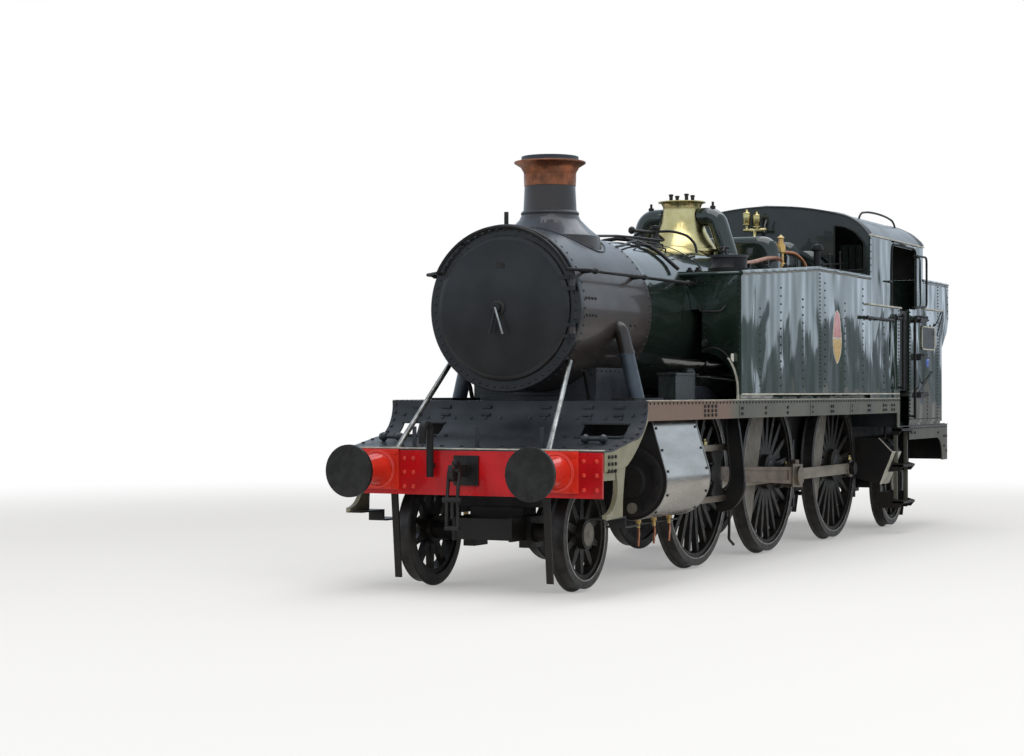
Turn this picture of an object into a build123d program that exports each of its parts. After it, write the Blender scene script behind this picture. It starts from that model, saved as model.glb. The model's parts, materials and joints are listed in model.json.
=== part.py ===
from build123d import *
import math
import os

# A side-tank steam locomotive with two leading, six coupled and two trailing wheels.
# Millimetres. +X is forward (smokebox end), +Y is the engine's left, +Z is up.
# The origin is on the floor, midway between the buffer faces, on the centre line.
# Heights called "rail" are measured from the wheel treads' lowest point.

# DRIVING DIMENSIONS
FLANGE_DEPTH = 28.6
RAIL = FLANGE_DEPTH                     # the flanges touch the floor, the treads run this much higher
BUFFER_FACE_X = 6248.5                  # half the length over the buffers
BUFFER_LENGTH = 546.0
BEAM_FACE_X = BUFFER_FACE_X - BUFFER_LENGTH
BEAM_THICK = 30.0
BEAM_BACK_X = BEAM_FACE_X - BEAM_THICK
HALF_WIDTH = 1295.0                     # over the tanks, cab and platform
SHEET = 12.0                            # plate thickness of cab, bunker and platform
CLEAR = 0.3                             # gap between neighbours that move on each other
BEYOND = HALF_WIDTH + 200.0             # outside everything, for cutting

# wheels and axles
LEADING_X = 5000.0
LEADING_TO_FRONT = 2692.4
FRONT_TO_DRIVING = 2133.6
DRIVING_TO_REAR = 2362.2
REAR_TO_TRAILING = 2489.2
FRONT_X = LEADING_X - LEADING_TO_FRONT
DRIVING_X = FRONT_X - FRONT_TO_DRIVING
REAR_X = DRIVING_X - DRIVING_TO_REAR
TRAILING_X = REAR_X - REAR_TO_TRAILING
LEADING_R = 482.6
COUPLED_R = 863.6
TRAILING_R = 558.8
WHEEL_BACK_Y = 680.0
TYRE_WIDTH = 140.0
WHEEL_FACE_Y = WHEEL_BACK_Y + TYRE_WIDTH
TYRE_THICK = 72.0
RIM_THICK = 52.0
RIM_SET = 18.0                          # rim faces stand this far inside the tyre faces
SPOKE_HALF = 27.0                       # half a spoke's thickness along Y
SPOKE_ROOT = 84.0
SPOKE_TIP = 50.0
HUB_PROUD = 18.0
AXLE_R = 98.0
TRUCK_AXLE_R = 82.0
BEARING_GAP = 0.08                      # radial clearance of an axle or pin in its bearing
COUPLED_Z = RAIL + COUPLED_R

# cranks and rods
CRANK_THROW = 381.0
LEFT_CRANK_DEG = 188.0                  # from +X towards +Z
RIGHT_CRANK_DEG = LEFT_CRANK_DEG - 90.0
WEIGHT_TURN_DEG = 12.0                  # balance weights stand this far off opposite the crank
COUPLING_ROD_Y = 860.0
COUPLING_ROD_THICK = 54.0
COUPLING_ROD_HIGH = 124.0
COUPLING_PIN_R = 56.0
MAIN_PIN_R = 80.0
PIN_END_Y = COUPLING_ROD_Y + COUPLING_ROD_THICK + 8.0
MOTION_Y = 985.0                        # plane of cylinders, crossheads and connecting rods
BIG_END_THICK = 98.0
ROD_SHANK_THICK = 64.0
CONNECTING_ROD_LENGTH = 2500.0
ROD_HIGH_FRONT = 132.0
ROD_HIGH_REAR = 188.0
CROSSHEAD_PIN_R = 42.0
CYLINDER_Z = RAIL + 927.0
CYLINDER_R = 352.0
CLADDING_LEAN = 160.0                   # the cladding's top stands this far inside the platform edge
CYLINDER_FRONT_X = 4390.0
CYLINDER_REAR_X = 3310.0
COVER_THICK = 30.0
COVER_R = 322.0
PISTON_ROD_R = 38.0
STROKE = 2 * CRANK_THROW
SLIDE_BAR_WIDE = 84.0
SLIDE_BAR_HIGH = 62.0
SLIDE_BAR_CENTRES = 508.0
BRACKET_X = 2030.0
BRACKET_THICK = 40.0
CROSSHEAD_HALF = 170.0

# boiler
BOILER_Z = RAIL + 2490.0
SMOKEBOX_R = 753.0
SMOKEBOX_FRONT_X = 4970.0
SMOKEBOX_REAR_X = 3340.0
SMOKEBOX_WALL = 20.0
DOOR_R = 650.0
DOOR_HOLE_R = 600.0
BARREL_R_FRONT = 728.0
BARREL_R_REAR = 855.0
FIREBOX_FRONT_X = -130.0
FIREBOX_REAR_X = -2450.0
FIREBOX_HALF = 800.0
FIREBOX_TOP_FRONT = RAIL + 3478.0
FIREBOX_TOP_REAR = RAIL + 3330.0
FIREBOX_WAIST_Z = RAIL + 1985.0
FIREBOX_FRONT_ROUND = 90.0
FIREBOX_FOOT_Z = RAIL + 1040.0
ASHPAN_FOOT = RAIL + 545.0
CHIMNEY_X = 4020.0
CHIMNEY_TOP = RAIL + 3950.0
BONNET_X = 670.0
FEED_R = 104.0
STEAM_PIPE_X = 4100.0
STEAM_PIPE_R = 70.0
WHISTLE_X = -1930.0

# frames
FRAME_Y = 596.0
FRAME_THICK = 32.0
FIREBOX_LEG_HALF = FRAME_Y - 56.0       # the legs stand between the frames
FRAME_TOP = RAIL + 1585.0
FRAME_FOOT = RAIL + 660.0
AXLEBOX_HALF = 150.0
AXLEBOX_HIGH = 352.0
HORNSTAY = 44.0
AXLEBOX_REACH = 44.0                    # an axlebox stands this far out of the frame plate
MAIN_FRAME_REAR_X = -3450.0
FRONT_EXTENSION_Y = 430.0
REAR_EXTENSION_Y = 500.0
EXTENSION_THICK = 40.0
SADDLE_REAR_X = 3450.0
SADDLE_FRONT_X = 4300.0

# platform
PLATFORM_TOP = RAIL + 1655.0
PLATFORM_FRONT_X = 4740.0
VALANCE_DEEP = 178.0
DROP_RUN_X = 5040.0
DROP_END_X = 5520.0
SLOT_Y = 925.0
SLOT_Z = RAIL + 1395.0
SLOT_LONG = 430.0
SLOT_HIGH = 96.0
BEAM_CENTRE_Z = RAIL + 1030.0
BEAM_HIGH = 390.0
BEAM_TOP = BEAM_CENTRE_Z + BEAM_HIGH / 2
GUARD_IRON_Y = 745.0                    # in line with the treads
BUFFER_Y = 870.0
BUFFER_Z = RAIL + 1054.0
PIPE_R = 32.0                           # the upright brake pipe
PIPE_STAND = 62.0
PIPE_Y = 330.0
LOW_PLATFORM_TOP = RAIL + 1312.0
SPLASHER_R = COUPLED_R + FLANGE_DEPTH + 40.0
DOORWAY_FRONT_X = -3360.0
DOORWAY_REAR_X = -3800.0

# tanks, cab and bunker
TANK_INNER_Y = 878.0
TANK_FOOT = PLATFORM_TOP + 60.0
TANK_FRONT_X = 2340.0
TANK_BEND_X = -110.0
TANK_TOP_FRONT = RAIL + 2940.0
TANK_TOP_REAR = RAIL + 3115.0
TANK_SHELF_Y = 560.0                    # the tank's top and front plates reach in to the barrel
TANK_SHELF_FOOT = RAIL + 2560.0
TUNNEL_DEEP = 960.0
TUNNEL_TOP = RAIL + 2130.0
TUNNEL_IN = 60.0                        # the arch stands this far inside the tank's side
ARCH_WIDE = 300.0
ARCH_HIGH = 420.0
CAB_FRONT_X = -2080.0
CAB_REAR_X = -4450.0
CAB_EAVE = RAIL + 3600.0
CAB_CROWN = RAIL + 3985.0
CAB_SHOULDER_Y = HALF_WIDTH - 330.0
CAB_MID_Y = HALF_WIDTH - 140.0
CAB_MID_Z = RAIL + 3758.0
CAB_SHOULDER_Z = RAIL + 3853.0
SIDE_SILL = RAIL + 2780.0
SIDE_HEAD = RAIL + 3530.0
SIDE_OPENING_FRONT_X = -3020.0
SIDE_OPENING_REAR_X = -4070.0
BUNKER_TOP = RAIL + 3180.0
BUNKER_REAR_TOP_X = -5740.0
BUNKER_REAR_X = -5390.0
BUNKER_FOOT = LOW_PLATFORM_TOP + 38.0
COAL_CROWN = RAIL + 3120.0
COAL_EDGE = RAIL + 2960.0
FLOOR_TOP = RAIL + 1722.0
SANDBOX_REAR_X = -3330.0
SANDBOX_LONG = 155.0
FILLER_X = 2010.0
FILLER_Y = 1045.0
FILLER_R = 180.0
FILLER_TOP = RAIL + 3085.0
HANDRAIL_R = 16.0
HANDRAIL_Z = RAIL + 2812.0
RAIL_END_Y = 650.0                      # where the handrail meets its bow before the smokebox
RAIL_END_Z = BOILER_Z + 330.0
RAIL_OUT_Y = 812.0
SPECTACLE_IN_Y = 860.0
SPECTACLE_OUT_Y = HALF_WIDTH - 70.0

# trucks
TRUCK_PLATE_Y = 262.0
TRUCK_PLATE_THICK = 34.0
TRUCK_COLUMN_HIGH = 230.0               # the bearing pad above each truck axle
LEADING_PIVOT_X = 3000.0
TRAILING_PIVOT_X = -2900.0
PIVOT_PIN_R = 45.0

os.makedirs("parts", exist_ok=True)


# DRAWING HELPERS
def block(x0, x1, y0, y1, z0, z1):
    """A box between two corners."""
    centre = Pos((x0 + x1) / 2, (y0 + y1) / 2, (z0 + z1) / 2)
    return centre * Box(abs(x1 - x0), abs(y1 - y0), abs(z1 - z0))


def rod_between(start, end, radius):
    """A round bar from one point to another."""
    a, b = Vector(*start), Vector(*end)
    return extrude(Plane(origin=a, z_dir=(b - a)) * Circle(radius), amount=(b - a).length)


def outline(*points):
    """A flat straight-edged face through the given points."""
    return make_face(Polyline(*points, close=True))


def side_plate(face, y0, y1):
    """A face drawn in X and Z, thickened from y0 to y1."""
    return extrude(Plane.XZ.offset(-y1) * face, amount=y1 - y0)


def cross_plate(face, x0, x1):
    """A face drawn in Y and Z, thickened from x0 to x1."""
    return extrude(Plane.YZ.offset(x0) * face, amount=x1 - x0)


def level_plate(face, z0, z1):
    """A face drawn in X and Y, thickened from z0 to z1."""
    return extrude(Plane.XY.offset(z0) * face, amount=z1 - z0)


def turned_on_y(points):
    """A ring or disc about the Y axis from (radius, y) points."""
    return revolve(outline(*points), Axis.Y)


def turned_on_z(points):
    """A ring or disc about the Z axis from (radius, z) points."""
    return revolve(make_face(Polyline(*[(r, 0, z) for r, z in points], close=True)), Axis.Z)


def disc_x(radius, x0, x1, y=0.0, z=0.0):
    """A round disc or bar along X."""
    return rod_between((x0, y, z), (x1, y, z), radius)


def disc_y(radius, x, z, y0, y1):
    """A round disc or bar along Y."""
    return rod_between((x, y0, z), (x, y1, z), radius)


def mirrored(shape):
    """The same piece on the other side of the engine."""
    return mirror(shape, about=Plane.XZ)


def both_sides(shape):
    """A piece and its twin on the other side."""
    return [shape, mirrored(shape)]


def save(node, solids):
    """Write one node from a list of solids or shapes."""
    found = []
    for shape in solids:
        found.extend(shape.solids())
    export_step(Compound(children=found), f"parts/{node}.step")


# WHEELS
def crank_point(axle_x, degrees):
    """Where a crankpin stands, in X and Z."""
    turn = math.radians(degrees)
    return axle_x + CRANK_THROW * math.cos(turn), COUPLED_Z + CRANK_THROW * math.sin(turn)


def wheel_blank(tread_r, hub_r, spokes):
    """A spoked wheel on the left, its axle on the Y axis."""
    tyre_in = tread_r - TYRE_THICK
    rim_in = tyre_in - RIM_THICK
    rim_y0, rim_y1 = WHEEL_BACK_Y + RIM_SET, WHEEL_FACE_Y - RIM_SET
    flange_r = tread_r + FLANGE_DEPTH
    rim = turned_on_y([
        (rim_in, rim_y0), (tyre_in, rim_y0), (tyre_in, WHEEL_BACK_Y), (tread_r + 12, WHEEL_BACK_Y),
        (flange_r, WHEEL_BACK_Y + 10), (flange_r, WHEEL_BACK_Y + 20), (tread_r, WHEEL_BACK_Y + 34),
        (tread_r - 5, WHEEL_FACE_Y), (tyre_in, WHEEL_FACE_Y), (tyre_in, rim_y1), (rim_in, rim_y1),
    ])
    spoke_y = (rim_y0 + rim_y1) / 2
    spoke = side_plate(
        outline((hub_r - 20, -SPOKE_ROOT / 2), (rim_in + 8, -SPOKE_TIP / 2),
                (rim_in + 8, SPOKE_TIP / 2), (hub_r - 20, SPOKE_ROOT / 2)),
        spoke_y - SPOKE_HALF, spoke_y + SPOKE_HALF)
    hub = disc_y(hub_r, 0, 0, WHEEL_BACK_Y, WHEEL_FACE_Y + HUB_PROUD)
    arms = [spoke.rotate(Axis.Y, (i + 0.5) * 360 / spokes) for i in range(spokes)]
    return hub + arms + rim


def balance_weight(chord, degrees):
    """A segment between the rim and a chord, on the left wheel."""
    rim_in = COUPLED_R - TYRE_THICK - RIM_THICK
    segment = Circle(rim_in + 8) - Pos(chord - rim_in * 2, 0) * Rectangle(rim_in * 4, rim_in * 4)
    plate = side_plate(segment, WHEEL_BACK_Y + RIM_SET + 4, WHEEL_FACE_Y - RIM_SET - 4)
    return plate.rotate(Axis.Y, -degrees)


def coupled_wheel(crank_deg, weight_deg, chord, pin_r, pin_cap):
    """A coupled wheel on the left with its crank boss, pin and weight."""
    turn = math.radians(crank_deg)
    pin_x, pin_z = CRANK_THROW * math.cos(turn), CRANK_THROW * math.sin(turn)
    wheel = wheel_blank(COUPLED_R, 190, 20)
    boss = disc_y(pin_r + 62, pin_x, pin_z, WHEEL_BACK_Y + RIM_SET, WHEEL_FACE_Y + HUB_PROUD)
    web = side_plate(outline((0, -150), (CRANK_THROW, -112), (CRANK_THROW, 112), (0, 150)),
                     WHEEL_BACK_Y + RIM_SET, WHEEL_FACE_Y + HUB_PROUD)
    pin = disc_y(pin_r, pin_x, pin_z, WHEEL_FACE_Y, PIN_END_Y)
    wheel = wheel + [boss, web.rotate(Axis.Y, -crank_deg), pin, balance_weight(chord, weight_deg)]
    if pin_cap:
        wheel = wheel + disc_y(pin_r + 22, pin_x, pin_z, PIN_END_Y, PIN_END_Y + 46)
    return wheel


def coupled_wheelset(axle_x, chord, pin_r, pin_cap):
    """Two coupled wheels with cranks at right angles on one axle."""
    left = coupled_wheel(LEFT_CRANK_DEG, LEFT_CRANK_DEG + 180 + WEIGHT_TURN_DEG, chord, pin_r, pin_cap)
    right = coupled_wheel(RIGHT_CRANK_DEG, RIGHT_CRANK_DEG + 180 - WEIGHT_TURN_DEG, chord, pin_r, pin_cap)
    axle = disc_y(AXLE_R, 0, 0, -WHEEL_BACK_Y - 5, WHEEL_BACK_Y + 5)
    return Pos(axle_x, 0, COUPLED_Z) * (axle + [left, mirrored(right)])


def truck_wheelset(axle_x, tread_r, spokes, hub_r):
    """Two plain wheels on a truck axle."""
    wheel = wheel_blank(tread_r, hub_r, spokes)
    axle = disc_y(TRUCK_AXLE_R, 0, 0, -WHEEL_BACK_Y - 5, WHEEL_BACK_Y + 5)
    return Pos(axle_x, 0, RAIL + tread_r) * (axle + both_sides(wheel))


def make_wheels():
    """All five wheelsets."""
    save("leading_wheelset", [truck_wheelset(LEADING_X, LEADING_R, 10, 132)])
    # node, axle x, weight chord, pin radius, cap outside the rod
    for node, axle_x, chord, pin_r, pin_cap in (
        ("front_coupled_wheelset", FRONT_X, 470, COUPLING_PIN_R, False),
        ("driving_wheelset", DRIVING_X, 300, MAIN_PIN_R, False),
        ("rear_coupled_wheelset", REAR_X, 420, COUPLING_PIN_R, True),
    ):
        save(node, [coupled_wheelset(axle_x, chord, pin_r, pin_cap)])
    save("trailing_wheelset", [truck_wheelset(TRAILING_X, TRAILING_R, 12, 138)])


# RODS AND MOTION
def coupling_rod(crank_deg):
    """One rod over the three crankpins of the left side."""
    y0, y1 = COUPLING_ROD_Y, COUPLING_ROD_Y + COUPLING_ROD_THICK
    pins = [crank_point(x, crank_deg) for x in (FRONT_X, DRIVING_X, REAR_X)]
    pin_radii = (COUPLING_PIN_R, MAIN_PIN_R, COUPLING_PIN_R)
    z = pins[0][1]
    rod = block(pins[2][0], pins[0][0], y0 + 8, y1 - 8, z - COUPLING_ROD_HIGH / 2, z + COUPLING_ROD_HIGH / 2)
    rod = rod + [disc_y(r + 52, x, z, y0, y1) for (x, _), r in zip(pins, pin_radii)]
    for (x, _), r in zip(pins, pin_radii):
        rod = rod - disc_y(r + BEARING_GAP, x, z, y0 - 5, y1 + 5)
    return rod


def crosshead_x(crank_deg):
    """Where the crosshead pin stands for a crank angle."""
    pin_x, pin_z = crank_point(DRIVING_X, crank_deg)
    return pin_x + math.sqrt(CONNECTING_ROD_LENGTH ** 2 - (CYLINDER_Z - pin_z) ** 2)


def connecting_rod(crank_deg):
    """The fluted rod from crosshead pin to crankpin, on the left."""
    pin_x, pin_z = crank_point(DRIVING_X, crank_deg)
    head_x = crosshead_x(crank_deg)
    slope = math.degrees(math.atan2(CYLINDER_Z - pin_z, head_x - pin_x))
    length = CONNECTING_ROD_LENGTH
    half = ROD_SHANK_THICK / 2
    shank = side_plate(outline((90, -ROD_HIGH_REAR / 2), (length - 40, -ROD_HIGH_FRONT / 2),
                               (length - 40, ROD_HIGH_FRONT / 2), (90, ROD_HIGH_REAR / 2)), -half, half)
    flute = side_plate(outline((260, -ROD_HIGH_REAR / 2 + 40), (length - 240, -ROD_HIGH_FRONT / 2 + 32),
                               (length - 240, ROD_HIGH_FRONT / 2 - 32), (260, ROD_HIGH_REAR / 2 - 40)), 0, 24)
    for y in (half - 18, -half + 18 - 24):
        shank = shank - Pos(0, y, 0) * flute
    big_end = block(-150, 190, -BIG_END_THICK / 2, BIG_END_THICK / 2, -128, 128)
    oil_box = block(-60, 60, -34, 34, 128, 176)
    cap = disc_y(MAIN_PIN_R + 26, 0, 0, BIG_END_THICK / 2, BIG_END_THICK / 2 + 34)
    small_end = disc_y(88, length, 0, -24, 24)
    neck = block(length - 110, length, -24, 24, -60, 60)
    rod = shank - block(length - 108, length + 200, -half - 1, half + 1, -200, 200)
    rod = rod + [big_end, oil_box, cap, small_end, neck]
    rod = rod - disc_y(CROSSHEAD_PIN_R + BEARING_GAP, length, 0, -30, 30)
    return Pos(pin_x, MOTION_Y, pin_z) * rod.rotate(Axis.Y, -slope)


def crosshead(crank_deg):
    """A crosshead with its slippers, pin and piston rod, on the left."""
    x = crosshead_x(crank_deg)
    inner = SLIDE_BAR_CENTRES / 2 - SLIDE_BAR_HIGH / 2 - 1.0
    half_y = SLIDE_BAR_WIDE / 2
    body = side_plate(outline(
        (x - CROSSHEAD_HALF, CYLINDER_Z + inner), (x + CROSSHEAD_HALF, CYLINDER_Z + inner),
        (x + CROSSHEAD_HALF, CYLINDER_Z + inner - 36), (x + 92, CYLINDER_Z + 92),
        (x + CROSSHEAD_HALF, CYLINDER_Z + 62), (x + CROSSHEAD_HALF, CYLINDER_Z - 62),
        (x + 92, CYLINDER_Z - 92), (x + CROSSHEAD_HALF, CYLINDER_Z - inner + 36),
        (x + CROSSHEAD_HALF, CYLINDER_Z - inner), (x - CROSSHEAD_HALF, CYLINDER_Z - inner),
        (x - CROSSHEAD_HALF, CYLINDER_Z - inner + 36), (x - 92, CYLINDER_Z - 110),
        (x - 92, CYLINDER_Z + 110), (x - CROSSHEAD_HALF, CYLINDER_Z + inner - 36),
    ), MOTION_Y - half_y, MOTION_Y + half_y)
    slot = block(x - 200, x + 104, MOTION_Y - 27, MOTION_Y + 27, CYLINDER_Z - 112, CYLINDER_Z + 112)
    pin = disc_y(CROSSHEAD_PIN_R, x, CYLINDER_Z, MOTION_Y - half_y, MOTION_Y + half_y)
    rod_end = CYLINDER_REAR_X + 60 + (x - crosshead_x(LEFT_CRANK_DEG))
    piston_rod = disc_x(PISTON_ROD_R, x + CROSSHEAD_HALF - 40, rod_end, MOTION_Y, CYLINDER_Z)
    return (body - slot) + [pin, piston_rod]


def slide_bars():
    """Upper and lower bars between cylinder and bracket, on the left."""
    bars = []
    for way in (1, -1):
        z = CYLINDER_Z + way * SLIDE_BAR_CENTRES / 2
        bars.append(block(BRACKET_X + BRACKET_THICK, CYLINDER_REAR_X - COVER_THICK,
                          MOTION_Y - SLIDE_BAR_WIDE / 2, MOTION_Y + SLIDE_BAR_WIDE / 2,
                          z - SLIDE_BAR_HIGH / 2, z + SLIDE_BAR_HIGH / 2))
    return bars


def motion_bracket():
    """The big C-shaped bracket that hangs outside the rods, on the left."""
    foot = PLATFORM_TOP - SHEET
    low = RAIL + 525
    y = MOTION_Y
    outer_top = ThreePointArc((y + 140, foot), (y + 220, RAIL + 1120), (y + 241, RAIL + 870))
    outer_low = ThreePointArc((y + 241, RAIL + 870), (y + 165, RAIL + 610), (y - 45, low))
    inner_low = ThreePointArc((y - 45, low + 196), (y + 73, RAIL + 790), (y + 97, RAIL + 900))
    inner_top = ThreePointArc((y + 97, RAIL + 900), (y + 71, RAIL + 1190), (y, foot))
    face = make_face([outer_top, outer_low, Line((y - 45, low), (y - 45, low + 196)), inner_low, inner_top,
                      Line((y, foot), (y + 140, foot))])
    plate = cross_plate(face, BRACKET_X, BRACKET_X + BRACKET_THICK)
    lug_z = CYLINDER_Z + SLIDE_BAR_CENTRES / 2
    lug = block(BRACKET_X, BRACKET_X + BRACKET_THICK, MOTION_Y - SLIDE_BAR_WIDE / 2, MOTION_Y + 85,
                lug_z - 34, lug_z + 34)
    return plate + lug


def make_motion():
    """Rods, crossheads, slide bars and brackets."""
    save("coupling_rod_left", [coupling_rod(LEFT_CRANK_DEG)])
    save("coupling_rod_right", [mirrored(coupling_rod(RIGHT_CRANK_DEG))])
    save("connecting_rod_left", [connecting_rod(LEFT_CRANK_DEG)])
    save("connecting_rod_right", [mirrored(connecting_rod(RIGHT_CRANK_DEG))])
    save("crosshead_left", [crosshead(LEFT_CRANK_DEG)])
    save("crosshead_right", [mirrored(crosshead(RIGHT_CRANK_DEG))])
    bars = slide_bars()
    save("slide_bars", bars + [mirrored(bar) for bar in bars])
    save("motion_brackets", both_sides(motion_bracket()))


# CYLINDERS
def cladding_face():
    """The cylinder's outline in Y and Z: round below, leaning in above."""
    top = PLATFORM_TOP - SHEET
    frame_side, top_y = FRAME_Y + FRAME_THICK, HALF_WIDTH - CLADDING_LEAN
    lean_y, lean_z = MOTION_Y + CYLINDER_R * 0.985, CYLINDER_Z + CYLINDER_R * 0.17
    arc = ThreePointArc((lean_y, lean_z),
                        (MOTION_Y + CYLINDER_R * math.cos(math.radians(-40)),
                         CYLINDER_Z + CYLINDER_R * math.sin(math.radians(-40))),
                        (MOTION_Y, CYLINDER_Z - CYLINDER_R))
    return make_face([Line((top_y, top), (lean_y, lean_z)), arc,
                      Line((MOTION_Y, CYLINDER_Z - CYLINDER_R), (frame_side, CYLINDER_Z - CYLINDER_R + 40)),
                      Line((frame_side, CYLINDER_Z - CYLINDER_R + 40), (frame_side, top)),
                      Line((frame_side, top), (top_y, top))])


def make_cylinders():
    """Clad cylinder blocks, and the covers and glands at their ends."""
    body = cross_plate(cladding_face(), CYLINDER_REAR_X, CYLINDER_FRONT_X)
    body = body - disc_x(PISTON_ROD_R + 2, CYLINDER_REAR_X - 1, CYLINDER_FRONT_X - 170, MOTION_Y, CYLINDER_Z)
    save("cylinders", both_sides(body))
    front = disc_x(COVER_R, CYLINDER_FRONT_X, CYLINDER_FRONT_X + COVER_THICK, MOTION_Y, CYLINDER_Z)
    rear = disc_x(COVER_R, CYLINDER_REAR_X - COVER_THICK, CYLINDER_REAR_X, MOTION_Y, CYLINDER_Z)
    gland = disc_x(92, CYLINDER_REAR_X - COVER_THICK - 44, CYLINDER_REAR_X - COVER_THICK, MOTION_Y, CYLINDER_Z)
    bore = disc_x(PISTON_ROD_R + BEARING_GAP, CYLINDER_REAR_X - 200, CYLINDER_REAR_X + 1, MOTION_Y, CYLINDER_Z)
    save("cylinder_covers", both_sides(front) + both_sides(rear + gland - bore))


# FRAMES AND TRUCKS
def smokebox_space():
    """All the room that the smokebox takes, longer than itself, for cutting what stands on it."""
    return disc_x(SMOKEBOX_R, 0, 2 * SMOKEBOX_FRONT_X, 0, BOILER_Z)


def main_frame_plate():
    """One main plate with its three horn gaps, on the left."""
    plate = block(MAIN_FRAME_REAR_X, SADDLE_FRONT_X, FRAME_Y, FRAME_Y + FRAME_THICK, FRAME_FOOT, FRAME_TOP)
    for x in (FRONT_X, DRIVING_X, REAR_X):
        gap_top = FRAME_FOOT + HORNSTAY + AXLEBOX_HIGH + 16
        plate = plate - block(x - AXLEBOX_HALF, x + AXLEBOX_HALF, FRAME_Y - 5, FRAME_Y + FRAME_THICK + 5,
                              FRAME_FOOT + HORNSTAY, gap_top)
    return plate


def make_frames():
    """Main plates, stretchers and the narrower extensions fore and aft."""
    solids = both_sides(main_frame_plate())
    # centre x, half length, foot and top above the rail
    for x, half, foot, top in ((1240, 30, 700, 1400), (LEADING_PIVOT_X, 70, 690, 1400),
                               (TRAILING_PIVOT_X, 70, 690, 1440), (MAIN_FRAME_REAR_X + 40, 40, 700, 1560)):
        solids.append(block(x - half, x + half, -FRAME_Y, FRAME_Y, RAIL + foot, RAIL + top))
    for x, tread_r, half_y in ((LEADING_X, LEADING_R, FRONT_EXTENSION_Y), (TRAILING_X, TRAILING_R, REAR_EXTENSION_Y)):
        low = RAIL + tread_r + TRUCK_COLUMN_HIGH + CLEAR
        solids.append(block(x - 120, x + 120, -half_y, half_y, low, RAIL + 960))
    front = block(SADDLE_FRONT_X, BEAM_BACK_X, FRONT_EXTENSION_Y, FRONT_EXTENSION_Y + EXTENSION_THICK,
                  RAIL + 860, BEAM_TOP - 20)
    rear = block(-BEAM_BACK_X, MAIN_FRAME_REAR_X, REAR_EXTENSION_Y, REAR_EXTENSION_Y + EXTENSION_THICK,
                 RAIL + 880, BEAM_TOP - 20)
    solids += both_sides(front) + both_sides(rear)
    frames = solids[0] + solids[1:]
    pins = [rod_between((LEADING_PIVOT_X, 0, RAIL + 470), (LEADING_PIVOT_X, 0, RAIL + 700), PIVOT_PIN_R),
            rod_between((TRAILING_PIVOT_X, 0, RAIL + 480), (TRAILING_PIVOT_X, 0, RAIL + 700), PIVOT_PIN_R)]
    save("main_frames", [frames + pins])
    saddle = block(SADDLE_REAR_X, SADDLE_FRONT_X, -FRAME_Y, FRAME_Y, RAIL + 760, RAIL + 1700)
    upper = block(SADDLE_REAR_X + 60, SADDLE_FRONT_X - 20, -FRAME_Y, FRAME_Y, RAIL + 1700, RAIL + 1960)
    saddle = saddle + upper - smokebox_space()
    save("smokebox_saddle", [saddle])


def make_axleboxes():
    """Six axleboxes in the horn gaps, each with its spring below."""
    boxes, springs = [], []
    for x in (FRONT_X, DRIVING_X, REAR_X):
        z0 = FRAME_FOOT + HORNSTAY
        y0, y1 = FRAME_Y - AXLEBOX_REACH, FRAME_Y + FRAME_THICK + AXLEBOX_REACH
        box = block(x - AXLEBOX_HALF, x + AXLEBOX_HALF, y0, y1, z0, z0 + AXLEBOX_HIGH)
        box = box - disc_y(AXLE_R + BEARING_GAP, x, COUPLED_Z, y0 - 5, y1 + 5)
        boxes += both_sides(box)
        foot = FRAME_FOOT
        leaves = side_plate(outline((x - 430, foot - 52), (x - 430, foot - 36), (x + 430, foot - 36),
                                    (x + 430, foot - 52), (x + 110, foot - 150), (x - 110, foot - 150)),
                            FRAME_Y - 34, FRAME_Y + 66)
        buckle = block(x - 60, x + 60, FRAME_Y - 34, FRAME_Y + 66, foot - 36, foot)
        hangers = [block(x + end - 20, x + end + 20, FRAME_Y, FRAME_Y + FRAME_THICK, foot - 36, foot)
                   for end in (-400, 400)]
        springs += both_sides(leaves + [buckle] + hangers)
    save("axleboxes", boxes)
    save("coupled_springs", springs)


def truck_frame(axle_x, tread_r, pivot_x, way):
    """A two-wheel truck: side plates, axleboxes and the arm to its pivot."""
    axle_z = RAIL + tread_r
    pivot_z0, pivot_z1 = RAIL + 500, RAIL + 560
    plates = []
    for y in (TRUCK_PLATE_Y, -TRUCK_PLATE_Y - TRUCK_PLATE_THICK):
        plate = block(axle_x - 420, axle_x + 420, y, y + TRUCK_PLATE_THICK, axle_z - 60, axle_z + 150)
        pad = block(axle_x - 130, axle_x + 130, y - 40, y + TRUCK_PLATE_THICK + 40, axle_z - 130, axle_z + 150)
        plates.append(plate + pad)
    inner = TRUCK_PLATE_Y + 10
    ends = [block(axle_x + end - 20, axle_x + end + 20, -inner, inner, axle_z - 50, axle_z + 140)
            for end in (-390, 390)]
    arm_from = axle_x - way * 400
    arm_z = (pivot_z0 + pivot_z1) / 2
    arm = level_plate(outline((arm_from, -250), (arm_from, 250), (pivot_x, 90), (pivot_x, -90)), pivot_z0, pivot_z1)
    eye = rod_between((pivot_x, 0, pivot_z0), (pivot_x, 0, pivot_z1), 110)
    column = block(axle_x - 140, axle_x + 140, -TRUCK_PLATE_Y, TRUCK_PLATE_Y, axle_z + 110,
                   axle_z + TRUCK_COLUMN_HIGH)
    frame = plates[0] + [plates[1], arm, eye, column] + ends
    frame = frame - disc_y(TRUCK_AXLE_R + BEARING_GAP, axle_x, axle_z, -600, 600)
    return frame - rod_between((pivot_x, 0, arm_z - 100), (pivot_x, 0, arm_z + 100), PIVOT_PIN_R + BEARING_GAP)


def make_trucks():
    """Leading and trailing trucks."""
    save("leading_truck_frame", [truck_frame(LEADING_X, LEADING_R, LEADING_PIVOT_X, 1)])
    save("trailing_truck_frame", [truck_frame(TRAILING_X, TRAILING_R, TRAILING_PIVOT_X, -1)])


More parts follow.
